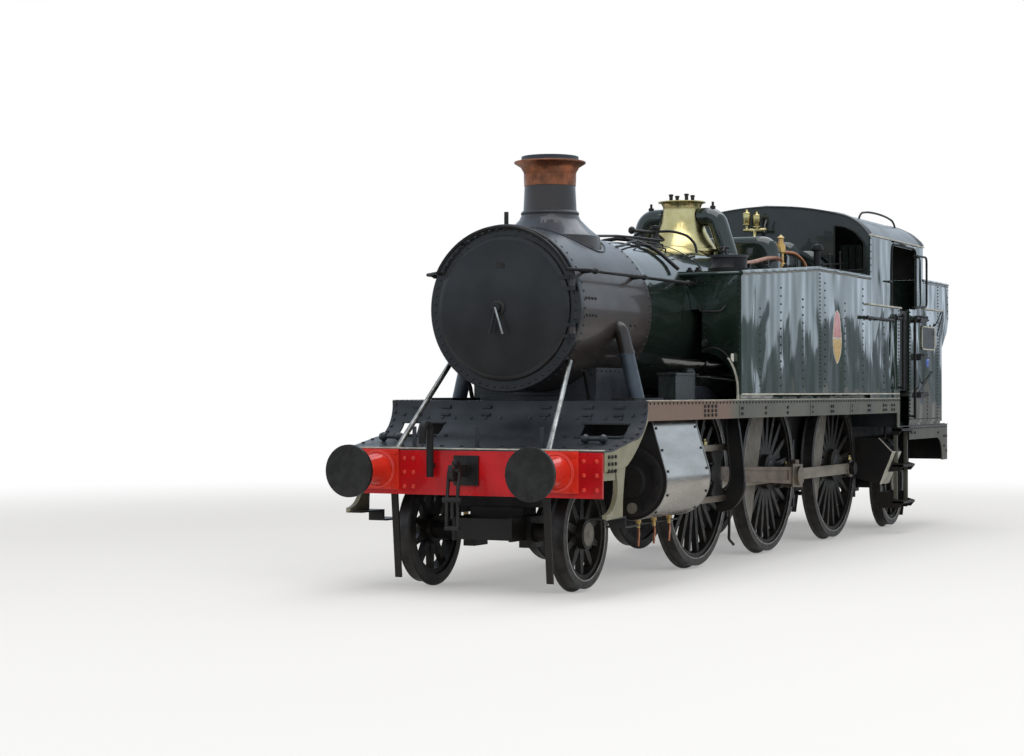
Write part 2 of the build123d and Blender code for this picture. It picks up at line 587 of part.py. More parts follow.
# BEAMS AND BUFFERS
def make_beams():
    """Front and rear buffer beams, each with the guard irons that hang from it before the wheels."""
    foot, top, half = BEAM_TOP - BEAM_HIGH, BEAM_TOP, HALF_WIDTH - 10
    front = block(BEAM_BACK_X, BEAM_FACE_X, -half, half, foot, top)
    rear = block(-BEAM_FACE_X, -BEAM_BACK_X, -half, half, foot, top)
    tips = {1: LEADING_X + LEADING_R + 90, -1: TRAILING_X - TRAILING_R - 90}
    irons = {}
    for way, tip_x in tips.items():
        back = way * BEAM_BACK_X
        iron = side_plate(outline((back, foot + 40), (back, foot + 180), (back - way * 22, foot + 180),
                                  (back - way * 26, foot + 40), (tip_x, RAIL + 90), (tip_x + way * 22, RAIL + 90)),
                          GUARD_IRON_Y - 32, GUARD_IRON_Y + 32)
        irons[way] = both_sides(iron)
    front, rear = front + irons[1], rear + irons[-1]
    save("front_buffer_beam", [front])
    save("rear_buffer_beam", [rear])


def buffer(way):
    """One buffer at a beam, on the left: base, tapered housing, shank, head."""
    base = block(0, 26, -200, 200, -178, 178)
    housing = Plane.YZ.offset(26) * Circle(150)
    housing_end = Plane.YZ.offset(300) * Circle(104)
    body = loft([housing, housing_end])
    shank = disc_x(62, 300, BUFFER_LENGTH - 40)
    head = disc_x(228, BUFFER_LENGTH - 40, BUFFER_LENGTH)
    whole = base + [body, shank, head]
    if way < 0:
        whole = mirror(whole, about=Plane.YZ)
    return Pos(way * BEAM_FACE_X, BUFFER_Y, BUFFER_Z) * whole


def draw_hook(way):
    """A drawhook with its base plate on a beam."""
    base = block(0, 22, -120, 120, -130, 130)
    neck = block(22, 150, -24, 24, -52, 52)
    hook = side_plate(Circle(92) - Pos(10, 18) * Circle(38) - Pos(40, 80) * Rectangle(60, 110), -24, 24)
    whole = base + [neck, Pos(222, 0, 0) * hook]
    if way < 0:
        whole = mirror(whole, about=Plane.YZ)
    return Pos(way * BEAM_FACE_X, 0, BUFFER_Z) * whole


def vacuum_pipe(way):
    """The upright brake pipe with its swan neck beside a hook."""
    x, y = way * (BEAM_FACE_X + PIPE_STAND), -PIPE_Y * way
    over = x + way * 140
    top = BUFFER_Z + 400
    path = FilletPolyline((x, y, BUFFER_Z - 60), (x, y, top), (over, y, top), (over, y, top - 170), radius=60)
    pipe = sweep(Plane(origin=(x, y, BUFFER_Z - 60), z_dir=(0, 0, 1)) * Circle(PIPE_R), path=path)
    clip = block(way * BEAM_FACE_X, x, y - 20, y + 20, BUFFER_Z + 20, BUFFER_Z + 60)
    return pipe + clip


def make_buffing_gear():
    """Buffers, drawhooks and brake pipes at both ends."""
    save("buffers", both_sides(buffer(1)) + both_sides(buffer(-1)))
    save("drawhooks", [draw_hook(1), draw_hook(-1)])
    save("vacuum_pipes", [vacuum_pipe(1), vacuum_pipe(-1)])


# PLATFORM
def turned_arch(x, radius, y0, y1):
    """The part of a disc about a coupled axle that stands above the platform."""
    below = block(x - 2 * radius, x + 2 * radius, y0 - 1, y1 + 1, -radius, PLATFORM_TOP - SHEET)
    return disc_y(radius, x, COUPLED_Z, y0, y1) - below


def make_platform():
    """Running plates at three levels, with the front drop and the splashers of the first coupled wheels."""
    top, inner = PLATFORM_TOP, WHEEL_FACE_Y + HUB_PROUD + 6
    side = block(DOORWAY_FRONT_X, SADDLE_FRONT_X + 130, inner, HALF_WIDTH, top - SHEET, top)
    front = block(SADDLE_FRONT_X, PLATFORM_FRONT_X, -HALF_WIDTH, HALF_WIDTH, top - SHEET, top)
    drop = drop_plate()
    beam_shelf = block(DROP_END_X, BEAM_FACE_X, -HALF_WIDTH, HALF_WIDTH, BEAM_TOP, BEAM_TOP + SHEET)
    splasher = turned_arch(FRONT_X, SPLASHER_R, inner - 190, inner + 20) - turned_arch(
        FRONT_X, SPLASHER_R - SHEET, inner - 190, inner + 20 - SHEET)
    side = side + splasher
    upper = side + [mirrored(side), front, drop, beam_shelf]
    low = block(-BEAM_FACE_X, DOORWAY_FRONT_X, -HALF_WIDTH, HALF_WIDTH, LOW_PLATFORM_TOP - SHEET, LOW_PLATFORM_TOP)
    low = low - block(MAIN_FRAME_REAR_X - 10, 0, -640, 640, 0, 3000)
    riser = block(DOORWAY_FRONT_X - SHEET, DOORWAY_FRONT_X, 640, HALF_WIDTH, LOW_PLATFORM_TOP, top)
    save("running_plates", [upper, low + both_sides(riser)])


def drop_curve(inset):
    """The falling line of the drop plate: upright, round, then gently sloping."""
    x0, top, low = PLATFORM_FRONT_X - inset, PLATFORM_TOP, BEAM_TOP + SHEET - inset
    bend_z, run_x = low + 85 + 0.2 * inset, DROP_RUN_X
    return [Line((x0, top), (x0, low + 350)),
            ThreePointArc((x0, low + 350), (x0 + 75, low + 186), (run_x, bend_z)),
            Line((run_x, bend_z), (DROP_END_X, low))]


def drop_plate():
    """The plate that falls in a curve from the platform to the front beam."""
    upper = drop_curve(0)
    lower = drop_curve(SHEET)
    face = make_face(upper + lower + [
        Line((PLATFORM_FRONT_X, PLATFORM_TOP), (PLATFORM_FRONT_X - SHEET, PLATFORM_TOP)),
        Line((DROP_END_X, BEAM_TOP + SHEET), (DROP_END_X, BEAM_TOP))])
    plate = side_plate(face, -HALF_WIDTH, HALF_WIDTH)
    for y in (SLOT_Y, -SLOT_Y):
        plate = plate - block(PLATFORM_FRONT_X - 100, PLATFORM_FRONT_X + 250, y - SLOT_LONG / 2, y + SLOT_LONG / 2,
                              SLOT_Z - SLOT_HIGH / 2, SLOT_Z + SLOT_HIGH / 2)
    return plate


def make_valances():
    """The deep angle under the platform edge, with the drops at both ends."""
    y0, y1 = HALF_WIDTH - 14, HALF_WIDTH
    top = PLATFORM_TOP - SHEET
    side = block(DOORWAY_FRONT_X, PLATFORM_FRONT_X - SHEET, y0, y1, top - VALANCE_DEEP + SHEET, top)
    foot = BEAM_TOP - 170
    x0 = PLATFORM_FRONT_X - SHEET
    web_x, web_z = x0 + 472, BEAM_TOP - 130
    inner = ThreePointArc((x0, top - 166), (x0 + 222, BEAM_TOP + 30), (web_x, web_z))
    front = side_plate(make_face([
        Line((x0, PLATFORM_TOP), (x0, top - 166)), inner, Line((web_x, web_z), (BEAM_BACK_X, foot)),
        Line((BEAM_BACK_X, foot), (BEAM_BACK_X, BEAM_TOP)),
        Line((BEAM_BACK_X, BEAM_TOP), (DROP_END_X, BEAM_TOP))] + drop_curve(SHEET)), y0, y1)
    low_top = LOW_PLATFORM_TOP - SHEET
    rear = side_plate(make_face([
        Line((DOORWAY_REAR_X, low_top), (-BEAM_BACK_X, low_top)),
        Line((-BEAM_BACK_X, low_top), (-BEAM_BACK_X, BEAM_TOP - BEAM_HIGH)),
        Line((-BEAM_BACK_X, BEAM_TOP - BEAM_HIGH), (-5400, BEAM_TOP - BEAM_HIGH)),
        ThreePointArc((-5400, BEAM_TOP - BEAM_HIGH), (-5330, low_top - 230), (-5200, low_top - 165)),
        Line((-5200, low_top - 165), (DOORWAY_REAR_X, low_top - 165)),
        Line((DOORWAY_REAR_X, low_top - 165), (DOORWAY_REAR_X, low_top))]), y0, y1)
    save("valances", both_sides(side + front) + both_sides(rear))


# BOILER
def make_smokebox():
    """Hollow smokebox, its door, and the chimney."""
    shell = disc_x(SMOKEBOX_R, SMOKEBOX_REAR_X, SMOKEBOX_FRONT_X, 0, BOILER_Z)
    inside = disc_x(SMOKEBOX_R - SMOKEBOX_WALL, SMOKEBOX_REAR_X - 1, SMOKEBOX_FRONT_X - SMOKEBOX_WALL, 0, BOILER_Z)
    hole = disc_x(DOOR_HOLE_R, SMOKEBOX_FRONT_X - 100, SMOKEBOX_FRONT_X + 10, 0, BOILER_Z)
    flue = rod_between((CHIMNEY_X, 0, BOILER_Z), (CHIMNEY_X, 0, BOILER_Z + 2 * SMOKEBOX_R), 170)
    lugs = [block(SMOKEBOX_FRONT_X - 10, SMOKEBOX_FRONT_X + 62, DOOR_R + 22, DOOR_R + 62,
                  BOILER_Z + z - 30, BOILER_Z + z + 30) for z in (-210, 210)]
    pivot_x, pivot_y = SMOKEBOX_FRONT_X + 40, DOOR_R + 42
    pivots = [rod_between((pivot_x, pivot_y, BOILER_Z + z - 70), (pivot_x, pivot_y, BOILER_Z + z + 70), 13)
              for z in (-210, 210)]
    smokebox = shell - inside - hole - flue + lugs
    save("smokebox", [smokebox + pivots])
    make_door()
    make_chimney()


def make_door():
    """The dished smokebox door with its hinge straps."""
    face_x = SMOKEBOX_FRONT_X + CLEAR
    dish = revolve(make_face([
        Line((face_x, 0), (face_x, DOOR_R)), Line((face_x, DOOR_R), (face_x + 26, DOOR_R)),
        ThreePointArc((face_x + 26, DOOR_R), (face_x + 104, DOOR_R * 0.52), (face_x + 132, 0)),
        Line((face_x + 132, 0), (face_x, 0))]), Axis.X)
    door = Pos(0, 0, BOILER_Z) * dish
    pivot_x, pivot_y = SMOKEBOX_FRONT_X + 40, DOOR_R + 42
    for z in (-210, 210):
        height = BOILER_Z + z
        for shift in (-50, 50):
            eye = rod_between((pivot_x, pivot_y, height + shift - 18), (pivot_x, pivot_y, height + shift + 18), 26)
            strap = block(face_x + 8, face_x + 40, 500, pivot_y, height + shift - 18, height + shift + 18)
            door = door + [eye, strap]
        door = door - rod_between((pivot_x, pivot_y, height - 90), (pivot_x, pivot_y, height + 90), 13 + BEARING_GAP)
    dart = disc_x(34, face_x + 120, face_x + 190, 0, BOILER_Z)
    handle = rod_between((face_x + 180, 0, BOILER_Z), (face_x + 180, -60, BOILER_Z - 230), 13)
    save("smokebox_door", [door + [dart, handle]])


def make_chimney():
    """Black chimney on its curved foot, with the flared cap."""
    cap_z = RAIL + 3670
    body = turned_on_z([(0, BOILER_Z + 500), (505, BOILER_Z + 500), (470, RAIL + 3190), (372, RAIL + 3270),
                        (292, RAIL + 3350), (252, RAIL + 3430), (240, cap_z), (0, cap_z)])
    body = Pos(CHIMNEY_X, 0, 0) * body - smokebox_space()
    bore = rod_between((CHIMNEY_X, 0, BOILER_Z), (CHIMNEY_X, 0, CHIMNEY_TOP + 10), 170)
    save("chimney", [body - bore])
    cap = turned_on_z([(0, cap_z), (244, cap_z), (248, cap_z + 130), (276, cap_z + 180), (338, cap_z + 218),
                       (338, cap_z + 232), (270, cap_z + 240), (270, CHIMNEY_TOP), (0, CHIMNEY_TOP)])
    save("chimney_cap", [Pos(CHIMNEY_X, 0, 0) * cap - bore])


def barrel_solid():
    """The tapered barrel with its cladding."""
    front = Plane(origin=(SMOKEBOX_REAR_X, 0, BOILER_Z), z_dir=(-1, 0, 0)) * Circle(BARREL_R_FRONT)
    rear = Plane(origin=(FIREBOX_FRONT_X, 0, BOILER_Z), z_dir=(-1, 0, 0)) * Circle(BARREL_R_REAR)
    return loft([front, rear])


def firebox_section(x, top, inset):
    """The firebox outline at one place: wide top with round shoulders, narrow legs."""
    corner, waist, half = 190, 150, FIREBOX_HALF - inset
    top = top - inset
    soft = corner * (1 - math.sqrt(0.5))
    return Plane.YZ.offset(x) * make_face([
        Line((-FIREBOX_LEG_HALF, FIREBOX_FOOT_Z), (FIREBOX_LEG_HALF, FIREBOX_FOOT_Z)),
        Line((FIREBOX_LEG_HALF, FIREBOX_FOOT_Z), (FIREBOX_LEG_HALF, FIREBOX_WAIST_Z - waist)),
        Line((FIREBOX_LEG_HALF, FIREBOX_WAIST_Z - waist), (half, FIREBOX_WAIST_Z + waist)),
        Line((half, FIREBOX_WAIST_Z + waist), (half, top - corner)),
        ThreePointArc((half, top - corner), (half - soft, top - soft), (half - corner, top)),
        Line((half - corner, top), (-half + corner, top)),
        ThreePointArc((-half + corner, top), (-half + soft, top - soft), (-half, top - corner)),
        Line((-half, top - corner), (-half, FIREBOX_WAIST_Z + waist)),
        Line((-half, FIREBOX_WAIST_Z + waist), (-FIREBOX_LEG_HALF, FIREBOX_WAIST_Z - waist)),
        Line((-FIREBOX_LEG_HALF, FIREBOX_WAIST_Z - waist), (-FIREBOX_LEG_HALF, FIREBOX_FOOT_Z))])


def firebox_top(x):
    """Height of the firebox top, which falls towards the cab."""
    share = (FIREBOX_FRONT_X - x) / (FIREBOX_FRONT_X - FIREBOX_REAR_X)
    return FIREBOX_TOP_FRONT + share * (FIREBOX_TOP_REAR - FIREBOX_TOP_FRONT)


def firebox_solid():
    """The firebox, its front edge rounded in three flats."""
    edge = FIREBOX_FRONT_ROUND
    sections = []
    # share of the rounding's depth behind the front face, and share of it taken off
    for back, inset in ((0.0, 1.0), (0.13, 0.5), (0.5, 0.13), (1.0, 0.0)):
        x = FIREBOX_FRONT_X - back * edge
        sections.append(firebox_section(x, firebox_top(x), inset * edge))
    sections.append(firebox_section(FIREBOX_REAR_X, FIREBOX_TOP_REAR, 0))
    return loft(sections, ruled=True)


def make_boiler():
    """Barrel, firebox, ashpan, safety valves, feed, pipes and whistles."""
    save("boiler_barrel", [barrel_solid()])
    firebox = firebox_solid()
    save("firebox", [firebox])
    ashpan = side_plate(outline((-140, FIREBOX_FOOT_Z), (-140, RAIL + 760), (-560, ASHPAN_FOOT),
                                (-1500, ASHPAN_FOOT), (-1960, RAIL + 760), (-1960, FIREBOX_FOOT_Z)),
                        -FIREBOX_LEG_HALF + 20, FIREBOX_LEG_HALF - 20)
    save("ashpan", [ashpan])
    barrel = barrel_solid()
    bonnet = turned_on_z([(0, RAIL + 3200), (400, RAIL + 3200), (370, RAIL + 3310), (322, RAIL + 3385),
                          (274, RAIL + 3470), (232, RAIL + 3580), (206, RAIL + 3700), (206, RAIL + 3745),
                          (224, RAIL + 3786), (258, RAIL + 3796), (258, RAIL + 3806), (0, RAIL + 3806)])
    save("safety_valve_bonnet", [Pos(BONNET_X, 0, 0) * bonnet - barrel])
    feed_path = FilletPolyline((BONNET_X, 140, RAIL + 3630), (BONNET_X, 400, RAIL + 3630),
                               (BONNET_X, 600, RAIL + 3020), radius=130)
    feed = sweep(Plane(origin=(BONNET_X, 140, RAIL + 3630), z_dir=(0, 1, 0)) * Circle(FEED_R), path=feed_path)
    column = turned_on_z([(0, RAIL + 3000), (412, RAIL + 3000), (412, RAIL + 3200), (382, RAIL + 3314),
                          (334, RAIL + 3392), (286, RAIL + 3476), (244, RAIL + 3584), (218, RAIL + 3702),
                          (218, RAIL + 3900), (0, RAIL + 3900)])
    save("top_feeds", both_sides(feed - barrel - Pos(BONNET_X, 0, 0) * column))
    make_steam_pipes()
    make_whistles(firebox)


def make_steam_pipes():
    """The pipes from the smokebox sides down through the platform to the cylinders."""
    x, head_z = STEAM_PIPE_X, RAIL + 2330
    path = FilletPolyline((x, 560, head_z), (x, 762, head_z), (x, 930, PLATFORM_TOP - 10), radius=90)
    pipe = sweep(Plane(origin=(x, 560, head_z), z_dir=(0, 1, 0)) * Circle(STEAM_PIPE_R), path=path)
    collar = rod_between((x, 816, RAIL + 2104), (x, 826, RAIL + 2068), STEAM_PIPE_R + 8)
    flange = block(x - 340, x + 340, 815, 1045, PLATFORM_TOP, PLATFORM_TOP + 26)
    pipe = pipe + [collar, flange] - smokebox_space()
    pipe = pipe - block(x - 400, x + 400, 500, HALF_WIDTH, 0, PLATFORM_TOP)
    save("steam_pipes", both_sides(pipe))


def make_whistles(firebox):
    """Two whistles on one cross pipe over the firebox."""
    pipe_z = RAIL + 3690
    whole = rod_between((WHISTLE_X, -230, pipe_z), (WHISTLE_X, 60, pipe_z), 20)
    whole = whole + rod_between((WHISTLE_X, -85, RAIL + 3300), (WHISTLE_X, -85, pipe_z), 24)
    for y, top in ((-190, RAIL + 3943), (-63, RAIL + 3912)):
        bell = turned_on_z([(0, pipe_z), (15, pipe_z), (15, pipe_z + 56), (40, pipe_z + 62), (40, pipe_z + 84),
                            (46, pipe_z + 90), (46, top - 58), (36, top - 36), (14, top - 30), (14, top), (0, top)])
        whole = whole + Pos(WHISTLE_X, y, 0) * bell
    save("whistles", [whole - firebox])


# TANKS
def tank_solid():
    """One side tank on the left, with its sloping front top and the tunnel."""
    profile = side_plate(outline((TANK_FRONT_X, TANK_FOOT), (TANK_FRONT_X, TANK_TOP_FRONT),
                                 (TANK_BEND_X, TANK_TOP_REAR), (CAB_FRONT_X, TANK_TOP_REAR),
                                 (CAB_FRONT_X, TANK_FOOT)), TANK_INNER_Y, HALF_WIDTH)
    y_in, y_out = TANK_INNER_Y - 60, HALF_WIDTH - TUNNEL_IN
    tunnel = make_face([
        Line((y_in, TANK_FOOT - 20), (y_in, TUNNEL_TOP)), Line((y_in, TUNNEL_TOP), (y_out - ARCH_WIDE, TUNNEL_TOP)),
        ThreePointArc((y_out - ARCH_WIDE, TUNNEL_TOP), (y_out - ARCH_WIDE * 0.35, TUNNEL_TOP - ARCH_HIGH * 0.26),
                      (y_out, TUNNEL_TOP - ARCH_HIGH)),
        Line((y_out, TUNNEL_TOP - ARCH_HIGH), (y_out, TANK_FOOT - 20)), Line((y_out, TANK_FOOT - 20), (y_in, TANK_FOOT - 20))])
    tank = profile - cross_plate(tunnel, TANK_FRONT_X - TUNNEL_DEEP, TANK_FRONT_X + 5)
    return tank + tank_shelf()


def tank_shelf():
    """The plates that close the gap between a tank and the barrel, above and in front."""
    x0, x1, y1 = FIREBOX_FRONT_X + 60, TANK_FRONT_X, TANK_INNER_Y + 20
    slope = (TANK_TOP_REAR - TANK_TOP_FRONT) / (TANK_FRONT_X - TANK_BEND_X)
    z0 = TANK_TOP_FRONT + slope * (x1 - x0)
    top = side_plate(outline((x1, TANK_TOP_FRONT), (x0, z0), (x0, z0 - SHEET), (x1, TANK_TOP_FRONT - SHEET)),
                     TANK_SHELF_Y, y1)
    front = block(x1 - SHEET, x1, TANK_SHELF_Y, y1, TANK_SHELF_FOOT, TANK_TOP_FRONT)
    space = loft([Plane(origin=(x, 0, BOILER_Z), z_dir=(-1, 0, 0)) * Circle(r + 4)
                  for x, r in ((SMOKEBOX_REAR_X, BARREL_R_FRONT), (FIREBOX_FRONT_X, BARREL_R_REAR))])
    notch = block(BONNET_X - FEED_R - 12, BONNET_X + FEED_R + 12, TANK_SHELF_Y - 1, 724, TANK_TOP_FRONT, TANK_TOP_REAR)
    return top + front - space - notch


def make_tanks():
    """Side tanks with their filler necks and plinths, and the hinged lids."""
    tank = tank_solid()
    foot_angle = block(CAB_FRONT_X, TANK_FRONT_X - TUNNEL_DEEP, TANK_INNER_Y + 30, HALF_WIDTH - 30,
                       PLATFORM_TOP, TANK_FOOT)
    strip = block(TANK_FRONT_X - TUNNEL_DEEP, TANK_FRONT_X, HALF_WIDTH - 26, HALF_WIDTH - 10, PLATFORM_TOP, TANK_FOOT)
    neck = rod_between((FILLER_X, FILLER_Y, RAIL + 2800), (FILLER_X, FILLER_Y, FILLER_TOP), FILLER_R)
    hinge_x = FILLER_X - FILLER_R - 24
    lug = block(hinge_x - 16, FILLER_X - FILLER_R + 30, FILLER_Y - 22, FILLER_Y + 22, FILLER_TOP - 60, FILLER_TOP + 14)
    lug = lug - rod_between((FILLER_X, FILLER_Y, RAIL + 2800), (FILLER_X, FILLER_Y, FILLER_TOP), FILLER_R)
    pin = rod_between((hinge_x, FILLER_Y - 52, FILLER_TOP + 14), (hinge_x, FILLER_Y + 52, FILLER_TOP + 14), 10)
    save("side_tanks", both_sides(tank + [foot_angle, strip, neck, lug, pin]))
    lid = rod_between((FILLER_X, FILLER_Y, FILLER_TOP + CLEAR), (FILLER_X, FILLER_Y, FILLER_TOP + 26), FILLER_R + 12)
    for y in (FILLER_Y - 44, FILLER_Y + 28):
        arm = block(hinge_x, FILLER_X - FILLER_R + 60, y, y + 16, FILLER_TOP + CLEAR, FILLER_TOP + 26)
        lid = lid + [arm, disc_y(20, hinge_x, FILLER_TOP + 14, y, y + 16)]
    lid = lid - block(hinge_x - 30, FILLER_X - FILLER_R + 36, FILLER_Y - 28, FILLER_Y + 28, FILLER_TOP - 10,
                      FILLER_TOP + 40)
    lid = lid - disc_y(10 + BEARING_GAP, hinge_x, FILLER_TOP + 14, FILLER_Y - 60, FILLER_Y + 60)
    save("filler_lid_left", [lid])
    save("filler_lid_right", [mirrored(lid)])


# CAB AND BUNKER
def roof_line(inset):
    """Three arcs from eave to eave, a wall's thickness inside the outer line."""
    shoulder_y, shoulder_z = CAB_SHOULDER_Y, CAB_SHOULDER_Z - inset
    mid_y, mid_z = CAB_MID_Y - inset * 0.6, CAB_MID_Z - inset * 0.8
    eave_y = HALF_WIDTH - inset
    return [ThreePointArc((-eave_y, CAB_EAVE), (-mid_y, mid_z), (-shoulder_y, shoulder_z)),
            ThreePointArc((-shoulder_y, shoulder_z), (0, CAB_CROWN - inset), (shoulder_y, shoulder_z)),
            ThreePointArc((shoulder_y, shoulder_z), (mid_y, mid_z), (eave_y, CAB_EAVE))]


def arch_face(inset, foot):
    """The cab's cross-section inside the roof, down to a given height."""
    eave_y = HALF_WIDTH - inset
    return make_face(roof_line(inset) + [Line((eave_y, CAB_EAVE), (eave_y, foot)), Line((eave_y, foot), (-eave_y, foot)),
                                         Line((-eave_y, foot), (-eave_y, CAB_EAVE))])


def make_cab():
    """Front with spectacles, sides, roof, floor, back and doors."""
    roof = cross_plate(arch_face(0, CAB_EAVE - 30), CAB_REAR_X, CAB_FRONT_X + 30)
    roof = roof - cross_plate(arch_face(SHEET, CAB_EAVE - 40), CAB_REAR_X - 5, CAB_FRONT_X + 35)
    save("cab_roof", [roof - block(CAB_REAR_X - 5, CAB_FRONT_X + 35, -BEYOND, BEYOND, CAB_EAVE - 40, CAB_EAVE)])

    front = cross_plate(arch_face(SHEET + CLEAR, TANK_TOP_REAR - 1300), CAB_FRONT_X - SHEET, CAB_FRONT_X)
    y0, y1, low = SPECTACLE_IN_Y, SPECTACLE_OUT_Y, RAIL + 3180
    window = make_face([
        Line((y0, low), (y0, RAIL + 3722)),
        ThreePointArc((y0, RAIL + 3722), ((y0 + 2 * y1) / 3, RAIL + 3650), (y1, RAIL + 3500)),
        Line((y1, RAIL + 3500), (y1, low)), Line((y1, low), (y0, low))])
    hole = cross_plate(window, CAB_FRONT_X - 50, CAB_FRONT_X + 50)
    around_firebox = extrude(firebox_section(CAB_FRONT_X - 50, firebox_top(CAB_FRONT_X + 50), -12), amount=100)
    save("cab_front", [front - hole - mirrored(hole) - around_firebox])

    side = side_plate(outline(
        (CAB_FRONT_X - SHEET, TANK_FOOT - 58), (CAB_FRONT_X - SHEET, CAB_EAVE), (CAB_REAR_X, CAB_EAVE),
        (CAB_REAR_X, SIDE_SILL), (SIDE_OPENING_REAR_X, SIDE_SILL), (SIDE_OPENING_REAR_X, SIDE_HEAD),
        (SIDE_OPENING_FRONT_X, SIDE_HEAD), (SIDE_OPENING_FRONT_X, SIDE_SILL), (DOORWAY_FRONT_X, SIDE_SILL),
        (DOORWAY_FRONT_X, TANK_FOOT - 58)), HALF_WIDTH - SHEET, HALF_WIDTH)
    save("cab_sides", both_sides(side))

    back_foot = BUNKER_TOP
    back = cross_plate(arch_face(SHEET + CLEAR, back_foot), CAB_REAR_X, CAB_REAR_X + SHEET)
    for y in (420, -420):
        back = back - block(CAB_REAR_X - 20, CAB_REAR_X + 40, y - 230, y + 230, RAIL + 3270, RAIL + 3660)
    save("cab_back", [back])

    floor = block(CAB_REAR_X + SHEET, -2560, -HALF_WIDTH + SHEET, HALF_WIDTH - SHEET, FLOOR_TOP - 40, FLOOR_TOP)
    locker = block(-3300, CAB_FRONT_X - SHEET - 440, HALF_WIDTH - 480, HALF_WIDTH - SHEET, FLOOR_TOP, FLOOR_TOP + 470)
    step_gap = block(DOORWAY_REAR_X + 20, DOORWAY_FRONT_X - 12, HALF_WIDTH - 165, BEYOND, 0, FLOOR_TOP + 100)
    floor = floor + both_sides(locker) - both_sides(step_gap)
    beams = [block(x - 20, x + 20, -560, 560, FRAME_TOP, FLOOR_TOP - 40) for x in (-2900, MAIN_FRAME_REAR_X + 20)]
    save("cab_floor", [floor + beams])
    make_cab_doors()


HINGE_X, HINGE_Y = DOORWAY_REAR_X + 16, HALF_WIDTH - 34
DOOR_FOOT, DOOR_TOP = FLOOR_TOP + 30, SIDE_SILL - 30
HINGE_PIN_R = 8.0


def door_hinge():
    """The upright pin that a cab door turns on, on the left."""
    pin = rod_between((HINGE_X, HINGE_Y, DOOR_FOOT - 20), (HINGE_X, HINGE_Y, DOOR_TOP + 20), HINGE_PIN_R)
    return pin + [block(DOORWAY_REAR_X - 10, HINGE_X + 12, HINGE_Y - 12, HALF_WIDTH - SHEET, z - 10, z + 10)
                  for z in (DOOR_FOOT - 12, DOOR_TOP + 12)]


def make_cab_doors():
    """Half doors hinged on the bunker side of each doorway."""
    hinge_x, hinge_y, z0, z1 = HINGE_X, HINGE_Y, DOOR_FOOT, DOOR_TOP
    leaf = block(hinge_x, DOORWAY_FRONT_X - 8, hinge_y - 8, hinge_y + 8, z0, z1)
    leaf = leaf + rod_between((hinge_x, hinge_y, z0), (hinge_x, hinge_y, z1), 14)
    leaf = leaf - rod_between((hinge_x, hinge_y, z0 - 5), (hinge_x, hinge_y, z1 + 5), HINGE_PIN_R + BEARING_GAP)
    save("cab_door_left", [leaf])
    save("cab_door_right", [mirrored(leaf)])


def bunker_shape(inset, low, high):
    """The bunker's outline from the side, a given depth inside its plates, over its whole width."""
    rear, rear_top = BUNKER_REAR_X + inset, BUNKER_REAR_TOP_X + inset
    return side_plate(outline((CAB_REAR_X - inset, low), (CAB_REAR_X - inset, high), (rear_top, high),
                              (rear_top, RAIL + 2700), (rear_top + 80, RAIL + 2540), (rear, RAIL + 2320),
                              (rear, low)), -HALF_WIDTH + inset, HALF_WIDTH - inset)


def make_bunker():
    """The open-topped bunker with its flared back."""
    foot = BUNKER_FOOT
    bunker = bunker_shape(0, foot, BUNKER_TOP) - bunker_shape(SHEET, foot + SHEET, BUNKER_TOP + 50)
    wing = block(CAB_REAR_X, DOORWAY_REAR_X, HALF_WIDTH - SHEET, HALF_WIDTH, foot, SIDE_SILL)
    sole = block(-5330, DOORWAY_REAR_X - 60, 115 - HALF_WIDTH, HALF_WIDTH - 115, LOW_PLATFORM_TOP, foot)
    hinge = door_hinge()
    save("bunker", [bunker + both_sides(wing) + both_sides(hinge) + [sole]])


def make_coal():
    """The coal in the bunker, lying on its floor and heaped along the middle."""
    fill = bunker_shape(SHEET + CLEAR, BUNKER_FOOT + SHEET, BUNKER_TOP)
    drop = COAL_CROWN - COAL_EDGE
    heap_r = (HALF_WIDTH ** 2 + drop ** 2) / (2 * drop)
    heap = disc_x(heap_r, -BUFFER_FACE_X, 0, 0, COAL_CROWN - heap_r)
    save("coal", [fill & heap])


# FITTINGS
def front_step():
    """The waisted leg behind the front beam with its two treads, on the left."""
    y0, foot, head = HALF_WIDTH - 14, RAIL + 664, BEAM_TOP - 110
    leg = side_plate(make_face([
        ThreePointArc((5190, head), (5246, RAIL + 880), (5262, foot)), Line((5262, foot), (5600, foot)),
        Line((5600, foot), (5600, foot + 30)), ThreePointArc((5600, foot + 30), (5372, RAIL + 890), (5460, head)),
        Line((5460, head), (5190, head))]), y0 - 44, y0)
    shelf = block(5200, 5600, y0 - 160, y0, foot - 14, foot)
    tread = block(4890, 5200, y0 - 190, y0, RAIL + 560, RAIL + 576)
    riser = block(5186, 5200, y0 - 160, y0, RAIL + 576, foot)
    tie = block(5430, BEAM_BACK_X, y0 - 44, y0, head - 130, head - 40)
    return leg + [shelf, tread, riser, tie]


